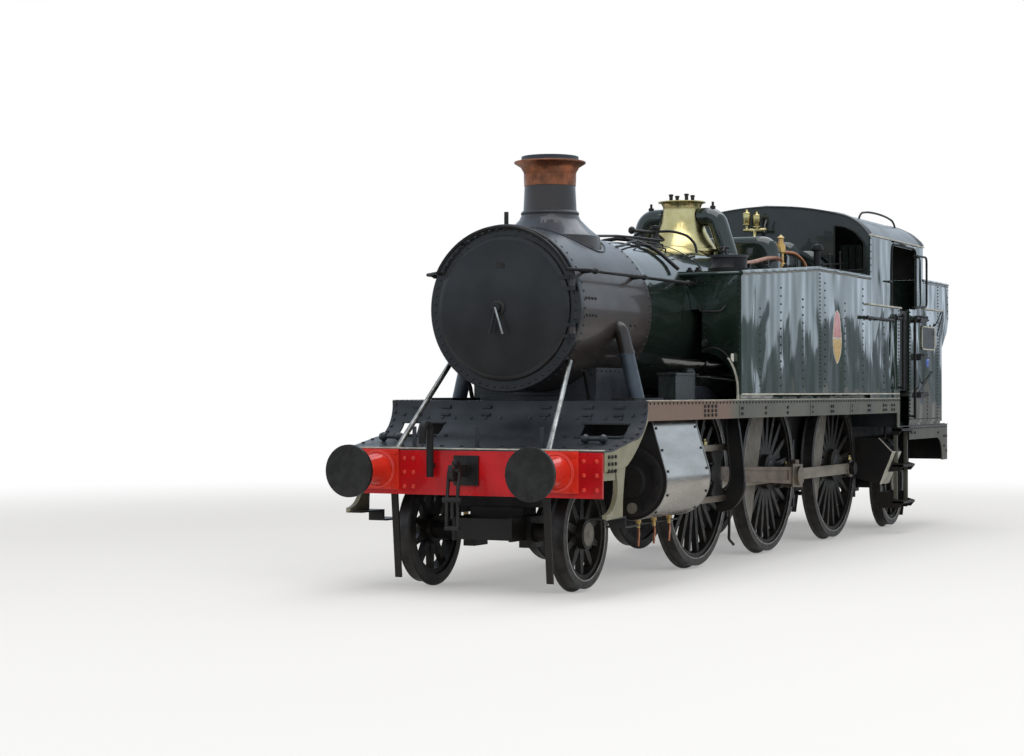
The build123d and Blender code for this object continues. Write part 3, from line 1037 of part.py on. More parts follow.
def make_steps():
    """Steps at the front, below the doorway and on the bunker's side."""
    y0, x0, x1 = HALF_WIDTH - 14, DOORWAY_REAR_X - 30, DOORWAY_FRONT_X + 22
    # foot of the strap at each end of the treads
    straps = [block(x - 24, x + 24, y0 - 34, y0 - 16, RAIL + 330, LOW_PLATFORM_TOP - SHEET)
              for x in (DOORWAY_FRONT_X + 4, DOORWAY_REAR_X - 12)]
    treads = []
    for z in (RAIL + 352, RAIL + 806):
        treads += [block(x0, x1, y0 - 250, y0 + 34, z, z + 24), block(x0, x1, y0 - 250, y0 - 232, z + 24, z + 140)]
        treads += [block(x - 9, x + 9, y0 - 250, y0 - 20, z - 60, z + 140) for x in (x0 + 9, x1 - 9)]
    back = block(-3610, -3550, y0 - 250, y0 - 232, RAIL + 376, LOW_PLATFORM_TOP - SHEET)
    cab_step = straps[0] + [straps[1], back] + treads
    bunker_steps = []
    for z in (RAIL + 1716, RAIL + 2206, RAIL + 2690):
        tread = level_plate(outline((-4110, HALF_WIDTH), (-4510, HALF_WIDTH), (-4460, HALF_WIDTH + 68),
                                    (-4200, HALF_WIDTH + 68)), z, z + 18)
        bunker_steps += [tread + block(-4500, -4120, HALF_WIDTH, HALF_WIDTH + 8, z - 46, z)]
    solids = [front_step(), cab_step] + bunker_steps
    save("footsteps", solids + [mirrored(solid) for solid in solids])


def handrail():
    """Boiler handrail with its knobs, on the left, turning in before the smokebox front."""
    y, z, turn_x, front_x = RAIL_OUT_Y, HANDRAIL_Z, SMOKEBOX_FRONT_X - 40, SMOKEBOX_FRONT_X + 66
    rail = rod_between((TANK_FRONT_X, y, z), (turn_x, y, z), HANDRAIL_R)
    turn = rod_between((turn_x - 8, y + 6, z), (front_x + 4, RAIL_END_Y - 6, RAIL_END_Z), HANDRAIL_R - 0.6)
    knob = turned_on_y([(0, 660), (24, 660), (13, y - 30), (28, y - 12), (28, y + 12), (16, y + 28), (0, y + 28)])
    knobs = [Pos(x, 0, z) * knob for x in (4790, 3665, 2560)]
    keep_off = disc_x(SMOKEBOX_R, SMOKEBOX_REAR_X, SMOKEBOX_FRONT_X, 0, BOILER_Z)
    return (rail + [turn] + knobs) - keep_off - barrel_solid()


def handrail_hoop():
    """The bow that joins both handrails over the smokebox front, with three studs."""
    x, reach = SMOKEBOX_FRONT_X + 66, math.hypot(RAIL_END_Y, RAIL_END_Z - BOILER_Z)
    half_turn = math.degrees(math.atan2(RAIL_END_Y, RAIL_END_Z - BOILER_Z))
    ring = Plane.XY * Pos(x, reach) * Circle(HANDRAIL_R)
    bow = revolve(ring, Axis.X, revolution_arc=2 * half_turn)
    bow = bow.rotate(Axis.X, 90 - half_turn)
    studs = [disc_x(13, SMOKEBOX_FRONT_X, x, 0, reach).rotate(Axis.X, turn) for turn in (-36, 0, 36)]
    return Pos(0, 0, BOILER_Z) * (bow + studs)


def make_handrails():
    """Rails along the boiler and beside the doorway."""
    left = handrail()
    solids = [left + [mirrored(left), handrail_hoop()]]
    for x, z0, z1 in ((DOORWAY_FRONT_X + 40, RAIL + 1760, RAIL + 2700), (DOORWAY_REAR_X - 60, RAIL + 1400, RAIL + 2660)):
        y = HALF_WIDTH + 55
        post = rod_between((x, y, z0), (x, y, z1), HANDRAIL_R + 2)
        ends = [rod_between((x, HALF_WIDTH, z), (x, y, z), 13) for z in (z0 + 30, z1 - 30)]
        solids += both_sides(post + ends)
    save("handrails", solids)


def make_stays():
    """Steel stays from the smokebox down to the front platform."""
    stay = rod_between((4868, 600, RAIL + 2010), (5610, 745, BEAM_TOP + SHEET), 24)
    foot = block(5560, 5650, 690, 790, BEAM_TOP + SHEET, BEAM_TOP + SHEET + 14)
    stay = stay + foot - smokebox_space()
    save("front_stays", both_sides(stay - block(5400, 5700, 600, 900, BEAM_TOP - 200, BEAM_TOP + SHEET)))


def make_brakes():
    """Brake blocks and hangers behind each coupled wheel, with beams and pull rods."""
    solids = []
    for axle_x in (FRONT_X, DRIVING_X, REAR_X):
        radius = COUPLED_R + 9
        ring = disc_y(radius + 60, axle_x, COUPLED_Z, 720, 800) - disc_y(radius, axle_x, COUPLED_Z, 700, 820)
        keep = block(axle_x - radius - 80, axle_x - radius + 160, 700, 820, COUPLED_Z - 330, COUPLED_Z - 60)
        shoe = ring & keep
        hang_x = axle_x - radius - 66
        hanger = block(hang_x - 22, hang_x + 22, 730, 790, COUPLED_Z - 360, COUPLED_Z + 330)
        arm = block(hang_x - 22, hang_x + 22, FRAME_Y + FRAME_THICK, 790, COUPLED_Z + 290, COUPLED_Z + 330)
        link = block(hang_x, axle_x - radius - 10, 735, 785, COUPLED_Z - 230, COUPLED_Z - 170)
        solids.append([shoe, hanger, arm, link])
    out = []
    for pieces in solids:
        left = pieces[0] + pieces[1:]
        hang = pieces[1].center().X
        beam = disc_y(26, hang, COUPLED_Z - 400, -790, 790)
        ends = [block(hang - 22, hang + 22, s * 730, s * 790, COUPLED_Z - 430, COUPLED_Z - 350) for s in (1, -1)]
        out.append(left + [mirrored(left), beam] + ends)
    save("brake_gear", out)


def make_sandboxes():
    """Sandboxes with angled outer ends ahead of the cab steps."""
    inner = FRAME_Y + FRAME_THICK
    box = cross_plate(outline((inner, RAIL + 1164), (1080, RAIL + 1164), (1250, RAIL + 992), (1090, RAIL + 592),
                              (inner, RAIL + 700)), SANDBOX_REAR_X, SANDBOX_REAR_X + SANDBOX_LONG)
    save("rear_sandboxes", both_sides(box))


def make_lubricators():
    """The box with its pump barrel that stands on the platform before each tank."""
    z = PLATFORM_TOP
    box = block(3050, 3520, 890, 1070, z, z + 235)
    lid = block(3040, 3530, 880, 1080, z + 235, z + 262)
    barrel = rod_between((2950, 980, z), (2950, 980, z + 285), 62)
    cap = rod_between((2950, 980, z + 285), (2950, 980, z + 306), 50)
    link = block(2950, 3060, 950, 1010, z + 60, z + 110)
    save("lubricators", both_sides(box + [lid, barrel, cap, link]))


def main():
    """Build every node."""
    make_wheels()
    make_motion()
    make_cylinders()
    make_frames()
    make_axleboxes()
    make_trucks()
    make_beams()
    make_buffing_gear()
    make_platform()
    make_valances()
    make_smokebox()
    make_boiler()
    make_tanks()
    make_cab()
    make_bunker()
    make_coal()
    make_steps()
    make_handrails()
    make_stays()
    make_brakes()
    make_sandboxes()
    make_lubricators()


main()
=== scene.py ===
# %% [markdown]
# # A side-tank steam locomotive, dressed over its CAD frame
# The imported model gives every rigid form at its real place, in metres: +X forward, +Y the engine's left, +Z
# up. Here it gets its finishes, its rivets and bolts, its pipes and handles, and the studio that shows it.
# Heights are given from the rail, as on an engine drawing, so one small function turns them into heights
# above the floor.

# %% Load the frame
import json
import math

import bmesh
import bpy
from mathutils import Matrix, Vector, noise


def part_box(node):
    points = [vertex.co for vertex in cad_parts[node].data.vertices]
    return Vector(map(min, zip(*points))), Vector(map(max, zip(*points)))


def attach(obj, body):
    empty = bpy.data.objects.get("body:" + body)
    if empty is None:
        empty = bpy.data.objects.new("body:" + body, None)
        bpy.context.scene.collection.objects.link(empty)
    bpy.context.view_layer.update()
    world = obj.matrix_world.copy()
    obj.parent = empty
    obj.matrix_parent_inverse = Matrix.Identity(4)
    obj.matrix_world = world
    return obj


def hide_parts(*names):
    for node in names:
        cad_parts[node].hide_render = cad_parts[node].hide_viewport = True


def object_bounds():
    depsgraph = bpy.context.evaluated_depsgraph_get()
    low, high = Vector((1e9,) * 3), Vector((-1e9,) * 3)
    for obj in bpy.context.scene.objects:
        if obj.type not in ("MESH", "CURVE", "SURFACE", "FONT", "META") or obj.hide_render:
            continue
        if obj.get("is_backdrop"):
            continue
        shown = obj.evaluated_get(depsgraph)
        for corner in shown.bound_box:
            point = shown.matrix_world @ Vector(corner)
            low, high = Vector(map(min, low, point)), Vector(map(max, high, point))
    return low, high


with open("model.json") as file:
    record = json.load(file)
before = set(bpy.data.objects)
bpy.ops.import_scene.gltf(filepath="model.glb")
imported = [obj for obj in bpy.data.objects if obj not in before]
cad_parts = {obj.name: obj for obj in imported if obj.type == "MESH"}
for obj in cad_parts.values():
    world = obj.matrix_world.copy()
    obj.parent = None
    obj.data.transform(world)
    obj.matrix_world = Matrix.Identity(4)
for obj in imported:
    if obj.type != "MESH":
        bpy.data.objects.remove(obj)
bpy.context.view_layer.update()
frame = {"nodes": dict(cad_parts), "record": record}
body_of_node = {
    node: body for body, nodes in frame["record"]["behaviour"]["bodies"].items() for node in nodes}
slot_of_node = {part["node"]: part["material_slot"] for part in frame["record"]["subparts"]}
RAIL = 0.0286


def up(height):
    """A height above the rail as a height above the floor."""
    return RAIL + height


# half the width over the tanks, and where the main plates lie
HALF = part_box("side_tanks")[1].y
BOILER_Z = up(2.49)
TANK_FRONT_X, TANK_BEND_X, CAB_FRONT_X, CAB_REAR_X = 2.34, -0.11, -2.08, -4.45
PLATFORM_Z, PLATFORM_FRONT_X, BEAM_X = up(1.655), 4.74, 5.7025
# axles: x and tread radius
LEADING, TRAILING = (5.0, 0.4826), (-4.6774, 0.5588)
COUPLED_X = {"front_coupled_wheelset": 2.3076, "driving_wheelset": 0.174, "rear_coupled_wheelset": -2.1882}
COUPLED_R, CRANK_R = 0.8636, 0.381

# %% [markdown]
# ## Two small helpers for materials
# Paint makers give a colour as a hex code, which is stored for a screen. Light adds up linearly, so one
# function turns a code into the linear numbers that a shader wants. The other adds one node, with its
# settings and its links, so that each material below reads as a list of what it is made of.

# %% Colour and node helpers
def linear(code):
    """An sRGB hex code as a linear colour."""
    parts = [int(code[i:i + 2], 16) / 255 for i in (1, 3, 5)]
    return [c / 12.92 if c <= 0.04045 else ((c + 0.055) / 1.055) ** 2.4 for c in parts] + [1.0]


def add_node(tree, kind, inputs=None, **settings):
    """Add one node with its settings, its values and its links."""
    node = tree.nodes.new(kind)
    for name, value in settings.items():
        setattr(node, name, value)
    for socket, value in (inputs or {}).items():
        if isinstance(value, bpy.types.NodeSocket):
            tree.links.new(value, node.inputs[socket])
        else:
            node.inputs[socket].default_value = value
    return node


print("gloss green as linear", [round(c, 4) for c in linear("#22332C")[:3]])

# %% [markdown]
# ## One recipe for painted and bare metal
# A painted plate is never one flat colour. It has broad patches where oil and soot have settled, a fine
# grain, a roughness that changes with them, a paler colour on what faces up, which is dust on most finishes
# and a painted sky sheen on the smokebox, and grime near the rail. The recipe below layers these from noise
# on object coordinates, each with a size in millimetres, and every finish only names its own numbers. Large
# thin sheets also ripple a little between their rivets. A second, very slow bump gives that wave to the gloss.

# %% The finish recipe
def mix_colour(tree, factor, first, second):
    """Blend two colours by a factor and give the socket of the result."""
    return add_node(tree, "ShaderNodeMix", {0: factor, 6: first, 7: second}, data_type="RGBA").outputs[2]


def noise_band(tree, spot, size_mm, low, high, detail=4.0, to_low=0.0, to_high=1.0):
    """Noise of one size, stretched between two levels."""
    texture = add_node(
        tree, "ShaderNodeTexNoise", {"Vector": spot, "Scale": 1000 / size_mm, "Detail": detail})
    stretched = {0: texture.outputs[0], 1: low, 2: high, 3: to_low, 4: to_high}
    return add_node(tree, "ShaderNodeMapRange", stretched).outputs[0]


def finish(
        name, base, patch, patch_mm=400.0, rough=(0.3, 0.45), metal=0.0, coat=0.0, grain_mm=4.0,
        relief_mm=0.05, dust_and_sheen=None, dust_and_sheen_most=0.35, grime=None, grime_top=1.0, wave_mm=0.0,
        stretch=(1, 1, 1), rust=None, turns=None, shine=0.5):
    """A procedural finish on object coordinates.

    turns is an axis, where along it a second colour starts, where that is full, and the colour.
    """
    material = bpy.data.materials.new(name)
    material.use_nodes = True
    tree = material.node_tree
    tree.nodes.clear()
    place = add_node(tree, "ShaderNodeTexCoord").outputs["Object"]
    spot = add_node(tree, "ShaderNodeMapping", {"Vector": place, "Scale": stretch}).outputs[0]
    colour = mix_colour(tree, noise_band(tree, spot, patch_mm, 0.38, 0.62), linear(base), linear(patch))
    if turns:
        axis, start, full, code = turns
        along = add_node(tree, "ShaderNodeSeparateXYZ", {0: place}).outputs[axis]
        share = add_node(tree, "ShaderNodeMapRange", {0: along, 1: start, 2: full}).outputs[0]
        colour = mix_colour(tree, share, colour, linear(code))
    if rust:
        spots = noise_band(tree, spot, patch_mm / 5, 0.62, 0.72, 8.0, 0.0, 0.7)
        colour = mix_colour(tree, spots, colour, linear(rust))
    if grime:
        height = add_node(tree, "ShaderNodeSeparateXYZ", {0: place}).outputs[2]
        low = add_node(
            tree, "ShaderNodeMapRange", {0: height, 1: grime_top, 2: 0.1, 3: 0.0, 4: 0.6}).outputs[0]
        patchy = noise_band(tree, place, 180, 0.3, 0.7, 6.0, 0.45, 1.0)
        share = add_node(tree, "ShaderNodeMath", {0: low, 1: patchy}, operation="MULTIPLY").outputs[0]
        colour = mix_colour(tree, share, colour, linear(grime))
    # a paler colour on what faces up: dust on most finishes, a painted sky sheen on the smokebox and chimney
    if dust_and_sheen:
        facing = add_node(
            tree, "ShaderNodeSeparateXYZ",
            {0: add_node(tree, "ShaderNodeNewGeometry").outputs["Normal"]}).outputs[2]
        level = add_node(
            tree, "ShaderNodeMapRange", {0: facing, 1: 0.35, 2: 0.95, 3: 0.0, 4: dust_and_sheen_most}).outputs[0]
        share = add_node(tree, "ShaderNodeMath", {
            0: level, 1: noise_band(tree, place, 90, 0.25, 0.7, 6.0, 0.35, 1.0)},
            operation="MULTIPLY").outputs[0]
        colour = mix_colour(tree, share, colour, linear(dust_and_sheen))
    roughness = noise_band(tree, spot, patch_mm * 0.6, 0.3, 0.7, 6.0, rough[0], rough[1])
    grain = add_node(tree, "ShaderNodeTexNoise", {"Vector": spot, "Scale": 1000 / grain_mm, "Detail": 3.0})
    normal = add_node(tree, "ShaderNodeBump", {
        "Height": grain.outputs[0], "Distance": relief_mm / 1000, "Strength": 0.6}).outputs[0]
    if wave_mm:
        ripple = add_node(tree, "ShaderNodeTexNoise", {"Vector": spot, "Scale": 2.4, "Detail": 1.0})
        normal = add_node(tree, "ShaderNodeBump", {
            "Height": ripple.outputs[0], "Distance": wave_mm / 1000, "Strength": 1.0,
            "Normal": normal}).outputs[0]
    # a coat takes over part of the shine
    specular = shine * (1 - 0.6 * coat)
    shader = add_node(tree, "ShaderNodeBsdfPrincipled", {
        "Base Color": colour, "Roughness": roughness, "Normal": normal, "Metallic": metal,
        "Coat Weight": coat, "Coat Roughness": 0.02, "Coat Normal": normal,
        "Specular IOR Level": specular})
    add_node(tree, "ShaderNodeOutputMaterial", {0: shader.outputs[0]})
    return material


print("recipe ready")

# %% [markdown]
# ## The paints
# The engine wears a dark gloss green on its boiler, tanks, cab and bunker, under a polished coat that mirrors
# what is around it. The smokebox has matt heat-proof paint that browns with use, with a painted blue-grey sky
# sheen on its upper faces. Frames and wheels are satin black under oil and brake dust, the platform's edge is
# an olive grey that turns tan near the cylinders as a painted sheen, and the buffer beam is red.

# %% Paint finishes
BOILER_GREEN = finish(
    "boiler_green_enamel", "#171F1B", "#1F2924", 700, (0.10, 0.2), coat=1.0, grain_mm=30, relief_mm=0.04,
    wave_mm=4.0)
BODY_GREEN = finish(
    "tank_green_enamel", "#202D27", "#28372F", 600, (0.06, 0.14), coat=1.0, grain_mm=40, relief_mm=0.03,
    wave_mm=60.0, stretch=(1.1, 1.1, 0.36), grime="#35352B", grime_top=2.0)
# the blue-grey on the upward faces of the smokebox and chimney is a painted sky sheen
SMOKEBOX_PAINT = finish(
    "smokebox_heat_proof_paint", "#242120", "#312A27", 520, (0.28, 0.42), grain_mm=5, relief_mm=0.1,
    dust_and_sheen="#394655", dust_and_sheen_most=0.9, coat=0.25)
CHASSIS_BLACK = finish(
    "chassis_satin_black", "#151618", "#1D1C1B", 260, (0.32, 0.55), grain_mm=6, relief_mm=0.12,
    dust_and_sheen="#3D3935", grime="#2F2A26", grime_top=1.5, shine=0.25)
PLATE_BLACK = finish(
    "front_plate_black", "#1F2428", "#292D33", 300, (0.34, 0.52), grain_mm=6, relief_mm=0.08,
    dust_and_sheen="#44474B", dust_and_sheen_most=0.4)
# the tan towards the front is a painted sheen on the olive paint
VALANCE_OLIVE = finish(
    "valance_olive_paint", "#46473F", "#525146", 500, (0.3, 0.5), grain_mm=6, relief_mm=0.06,
    rust="#5C4A3C", turns=(0, 2.45, 2.75, "#6A5444"))
DOOR_BLACK = finish(
    "door_black", "#17191B", "#222426", 420, (0.32, 0.46), grain_mm=5, relief_mm=0.08, shine=0.35)
BEAM_RED = finish(
    "beam_signal_red", "#C01218", "#A80F15", 300, (0.22, 0.36), coat=0.4, grain_mm=20, relief_mm=0.05)
HOUSING_RED = finish("buffer_housing_red", "#D8301C", "#C22818", 200, (0.25, 0.4), coat=0.3, grain_mm=10)
ROOF_GREY = finish(
    "roof_weathered_grey", "#464B50", "#555A5E", 600, (0.3, 0.5), coat=0.3, grain_mm=8, relief_mm=0.1,
    dust_and_sheen="#8A8F92", dust_and_sheen_most=0.4)
WHEEL_BLACK = finish(
    "wheel_oily_black", "#171718", "#221F1B", 160, (0.3, 0.55), grain_mm=5, relief_mm=0.15,
    rust="#33271D", shine=0.2)
# dusty grey made paler as painted sunlight, on balance weights, caps and relief valves
DUSTY_SUNLIT_GREY = finish(
    "balance_weight_dust_and_painted_sunlight", "#6A655B", "#575248", 160, (0.45, 0.65), grain_mm=5, relief_mm=0.1)
CAB_INSIDE_SHADE = finish("cab_inside_painted_shade", "#2A2D2A", "#343530", 300, (0.5, 0.7))
RING_BLACK = finish(
    "black_ring", "#0F1112", "#181A1C", 200, (0.3, 0.42), coat=0.15, grain_mm=20, relief_mm=0.03)
PIPE_BLUE = finish(
    "pipe_blue_grey", "#2F3843", "#3B4550", 220, (0.24, 0.4), grain_mm=6, relief_mm=0.05, coat=0.2,
    turns=(2, up(2.085), up(2.09), "#2A2522"))
LEG_CREAM = finish(
    "leg_pale_cream", "#82806B", "#72705A", 260, (0.4, 0.6), grain_mm=6, relief_mm=0.06, rust="#6B5038")
# pale paint of the crest rim and plate border, and painted highlight on edges, strips and faces
PALE_PAINT_AND_HIGHLIGHT = finish("pale_paint_and_painted_highlight", "#B9B8AC", "#9A998D", 90, (0.35, 0.55), grain_mm=6, rust="#7A6A58")
# a darker copy of the body green: painted shade on the cab front and the lubricators
SHADED_FRONT_GREEN = finish(
    "cab_front_green_painted_shade", "#161D1D", "#1E2625", 500, (0.2, 0.32), coat=0.4, grain_mm=12, relief_mm=0.04)
DISC_BLUE = finish("route_disc_blue", "#1F4FB0", "#2A59B8", 60, (0.2, 0.34), coat=0.5)
CREST_RED = finish("crest_faded_red", "#A8524E", "#B8756C", 60, (0.2, 0.34), coat=0.6)
CREST_GOLD = finish("crest_gold_paint", "#B08D45", "#C2A460", 50, (0.2, 0.34), coat=0.6)
print("paints", len(bpy.data.materials))

# %% [markdown]
# ## The bare metals
# Bare metals keep the default index and differ by colour and by how they were made. The cylinder cladding is
# rolled sheet, polished. The rods are forged, then wiped with oil that browns. Tyres are turned steel. The
# bonnet is spun brass and the chimney's cap is copper, which tarnishes in brown patches.

# %% Metal finishes
CLADDING_STEEL = finish(
    "polished_cladding_steel", "#BDB9B2", "#A29E97", 260, (0.18, 0.34), metal=1.0, grain_mm=3,
    relief_mm=0.02, stretch=(0.25, 1, 1))
ROD_STEEL = finish(
    "oiled_rod_steel", "#A69C8E", "#857A6C", 220, (0.3, 0.5), metal=1.0, grain_mm=3, relief_mm=0.03,
    stretch=(0.3, 1, 1))
ROD_WEB = finish(
    "browned_rod_web", "#75665A", "#5E5044", 180, (0.38, 0.55), metal=0.7, grain_mm=4, relief_mm=0.05)
TYRE_STEEL = finish(
    "oily_tyre_steel", "#3B3938", "#2D2B2A", 90, (0.3, 0.5), metal=0.6, grain_mm=3, relief_mm=0.05,
    rust="#463A31")
BRIGHT_STEEL = finish("bright_round_bar", "#B9B7B2", "#8E8B86", 120, (0.24, 0.42), metal=1.0, grain_mm=3)
DARK_STEEL = finish(
    "worn_dark_steel", "#363534", "#2B2A29", 90, (0.32, 0.5), metal=0.7, grain_mm=4, rust="#55422F")
BRASS = finish("spun_brass", "#D6C892", "#C6B47C", 140, (0.2, 0.34), metal=1.0, grain_mm=3, relief_mm=0.02)
CAP_COPPER = finish(
    "tarnished_copper", "#A4674A", "#7D5440", 110, (0.26, 0.46), metal=0.9, grain_mm=4, rust="#5A4236")
PIPE_COPPER = finish("drawn_copper", "#C88B6C", "#A86B4C", 60, (0.25, 0.4), metal=1.0, grain_mm=3)
print("metals", len(bpy.data.materials))

# %% [markdown]
# ## Wood, coal, enamel and glass
# The cab floor is planked, the bunker holds lumps of coal, the side plate is white enamel, and the cab's
# front and back lights are thin glass. Glass that is one thin pane needs no refraction, so a clear mix keeps
# it cheap to render.

# %% Other finishes and glass
FLOOR_WOOD = finish(
    "worn_planks", "#6B5138", "#4F3C2A", 90, (0.6, 0.8), grain_mm=4, relief_mm=0.4, stretch=(1, 9, 1))
COAL_BLACK = finish("coal_lumps", "#0E0E10", "#1A1A1D", 60, (0.25, 0.6), grain_mm=12, relief_mm=0.8)
WHITE_ENAMEL = finish("white_enamel", "#E4E2DA", "#D2D0C6", 60, (0.2, 0.35), coat=0.5)
PLATE_FACE = finish("plate_face_dark", "#1C1E20", "#26282A", 60, (0.3, 0.45))
DIAL_WHITE = finish("dial_white", "#DAD7CC", "#C8C4B6", 60, (0.3, 0.45))

PANE = bpy.data.materials.new("thin_pane_glass")
PANE.use_nodes = True
PANE.node_tree.nodes.clear()
# the grey tint darkens what shows through the panes, a painted shade of the cab behind
clear = add_node(PANE.node_tree, "ShaderNodeBsdfTransparent", {"Color": linear("#8B918F")})
shine = add_node(
    PANE.node_tree, "ShaderNodeBsdfPrincipled",
    {"Base Color": linear("#1A211F"), "Roughness": 0.05, "IOR": 1.5})
edge = add_node(PANE.node_tree, "ShaderNodeFresnel", {"IOR": 1.5})
blend = add_node(
    PANE.node_tree, "ShaderNodeMixShader", {0: edge.outputs[0], 1: clear.outputs[0], 2: shine.outputs[0]})
add_node(PANE.node_tree, "ShaderNodeOutputMaterial", {0: blend.outputs[0]})
print("materials", len(bpy.data.materials))

# %% [markdown]
# ## Smooth copies of the CAD forms
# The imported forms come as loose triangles, so every edge would shade as a hard facet. A copy with its corners
# welded and its flat faces joined can be shaded smooth across its curves, and it takes a small bevel, since
# no real plate or casting has a knife edge. A rule may give each face its own finish from where the face lies
# and where it looks.

# %% Dressing function
def dressed(node, finishes, bevel_mm=2.0, rule=None, keep_deg=32):
    """A welded, bevelled copy that stands for one CAD node."""
    mesh = frame["nodes"][node].data.copy()
    mesh.name = node + "_dressed"
    mesh.materials.clear()
    for material in finishes:
        mesh.materials.append(material)
    form = bmesh.new()
    form.from_mesh(mesh)
    bmesh.ops.remove_doubles(form, verts=form.verts, dist=1e-5)
    if rule:
        for face in form.faces:
            face.material_index = rule(face.calc_center_median(), face.normal)
    bmesh.ops.dissolve_limit(
        form, angle_limit=math.radians(0.5), verts=form.verts, edges=form.edges, delimit={"MATERIAL"})
    form.to_mesh(mesh)
    form.free()
    mesh.shade_smooth()
    mesh.set_sharp_from_angle(angle=math.radians(keep_deg))
    copy = bpy.data.objects.new(node + "_dressed", mesh)
    bpy.context.scene.collection.objects.link(copy)
    if bevel_mm:
        bevel = copy.modifiers.new("edge", "BEVEL")
        bevel.width, bevel.segments, bevel.limit_method = bevel_mm / 1000, 2, "ANGLE"
        bevel.angle_limit, bevel.harden_normals = math.radians(40), True
    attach(copy, body_of_node[node])
    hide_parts(node)
    return copy


TYRE_DEEP = 0.078


def wheel_rule(axle_x, axle_z, tread, weight_y):
    """Finishes of a wheel: black centre, steel tyre, balance weight in dusty grey made paler as painted
    sunlight.
    """
    def rule(centre, normal):
        reach = math.hypot(centre.x - axle_x, centre.z - axle_z)
        if reach > tread - TYRE_DEEP and abs(centre.y) > 0.6:
            return 1
        outward = normal.y * centre.y > 0.6 * abs(centre.y)
        return 2 if outward and abs(abs(centre.y) - weight_y) < 0.0015 else 0
    return rule


print("dressing ready")

# %% [markdown]
# ## Dress every form
# Most forms wear one finish. The first table names a finish, the bevel that suits the forms, 2 mm on thin
# sheet and up to 6 mm on castings, and the nodes that wear it. The others need a rule: a beam is red but its
# guard irons are black, a cylinder shines on its cladding but not on its end faces, and the inside of the cab
# is painted dark as shade while its outside is gloss green.

# %% Dress the forms
WHEEL_FINISHES = [WHEEL_BLACK, TYRE_STEEL, DUSTY_SUNLIT_GREY]
WEIGHT_Y, NO_WEIGHT = 0.798, 9.0
for node, axle_x in COUPLED_X.items():
    dressed(node, WHEEL_FINISHES, 3, wheel_rule(axle_x, up(COUPLED_R), COUPLED_R, WEIGHT_Y))
for node, (axle_x, tread) in (("leading_wheelset", LEADING), ("trailing_wheelset", TRAILING)):
    dressed(node, WHEEL_FINISHES, 3, wheel_rule(axle_x, up(tread), tread, NO_WEIGHT))

# forms of one finish: the finish, the bevel in mm, and the nodes
for material, bevel_mm, nodes in (
    (CHASSIS_BLACK, 0, ("handrails", "vacuum_pipes")),
    # the cab doors wear black as painted shade of the doorway
    (CHASSIS_BLACK, 2, ("cab_door_left", "cab_door_right", "coupled_springs")),
    (CHASSIS_BLACK, 3, ("ashpan", "rear_buffer_beam")),
    (CHASSIS_BLACK, 4, ("brake_gear", "cylinder_covers", "leading_truck_frame", "main_frames")),
    (CHASSIS_BLACK, 4, ("motion_brackets", "trailing_truck_frame")),
    (CHASSIS_BLACK, 5, ("axleboxes",)),
    (PLATE_BLACK, 2, ("running_plates",)),
    (PLATE_BLACK, 4, ("filler_lid_left", "filler_lid_right")),
    (PLATE_BLACK, 5, ("smokebox_saddle",)),
    (SMOKEBOX_PAINT, 3, ("chimney",)),
    (SMOKEBOX_PAINT, 4, ("smokebox",)),
    (DOOR_BLACK, 4, ("smokebox_door",)),
    (BOILER_GREEN, 0, ("boiler_barrel",)),
    (BOILER_GREEN, 4, ("top_feeds",)),
    (BOILER_GREEN, 6, ("firebox",)),
    (BODY_GREEN, 2, ("bunker",)),
    (SHADED_FRONT_GREEN, 6, ("lubricators",)),
    (COAL_BLACK, 0, ("coal",)),
    (BRASS, 0, ("safety_valve_bonnet", "whistles")),
    (BRIGHT_STEEL, 0, ("front_stays",)),
    (ROD_STEEL, 3, ("slide_bars",)),
    (ROD_STEEL, 4, ("coupling_rod_left", "coupling_rod_right")),
    (DARK_STEEL, 4, ("crosshead_left", "crosshead_right")),
    (DARK_STEEL, 5, ("drawhooks",)),
):
    for node in nodes:
        dressed(node, [material], bevel_mm)

FILLER_X, FILLER_Y, FILLER_R = 2.01, 1.045, 0.18


def tank_rule(centre, normal):
    """Black filler neck, black inside the tunnel as painted shade, green elsewhere."""
    from_filler = math.hypot(centre.x - FILLER_X, abs(centre.y) - FILLER_Y)
    neck = centre.z > up(2.95) and from_filler < FILLER_R + 0.05
    tunnel_shade = 1.37 < centre.x < 2.335 and centre.z < up(2.14) and abs(centre.y) < HALF - 0.04
    return int(neck or tunnel_shade)


def roof_rule(centre, normal):
    """Painted shade where the roof looks down at the middle of the cab."""
    return int(normal.dot(Vector((-3.3, 0, up(2.6))) - centre) > 0.3)


def web_rule(node):
    """Browned oil in the flutes of a rod, wiped steel elsewhere."""
    low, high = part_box(node)
    return lambda c, n: int(abs(n.y) > 0.9 and abs(c.y - (low.y + high.y) / 2) < 0.02)


def buffer_rule(centre, normal):
    """Red base and housing in front, black behind, bare heads."""
    reach = abs(centre.x) - BEAM_X
    return 2 if reach > 0.499 else 1 if reach > 0.302 or centre.x < 0 else 0


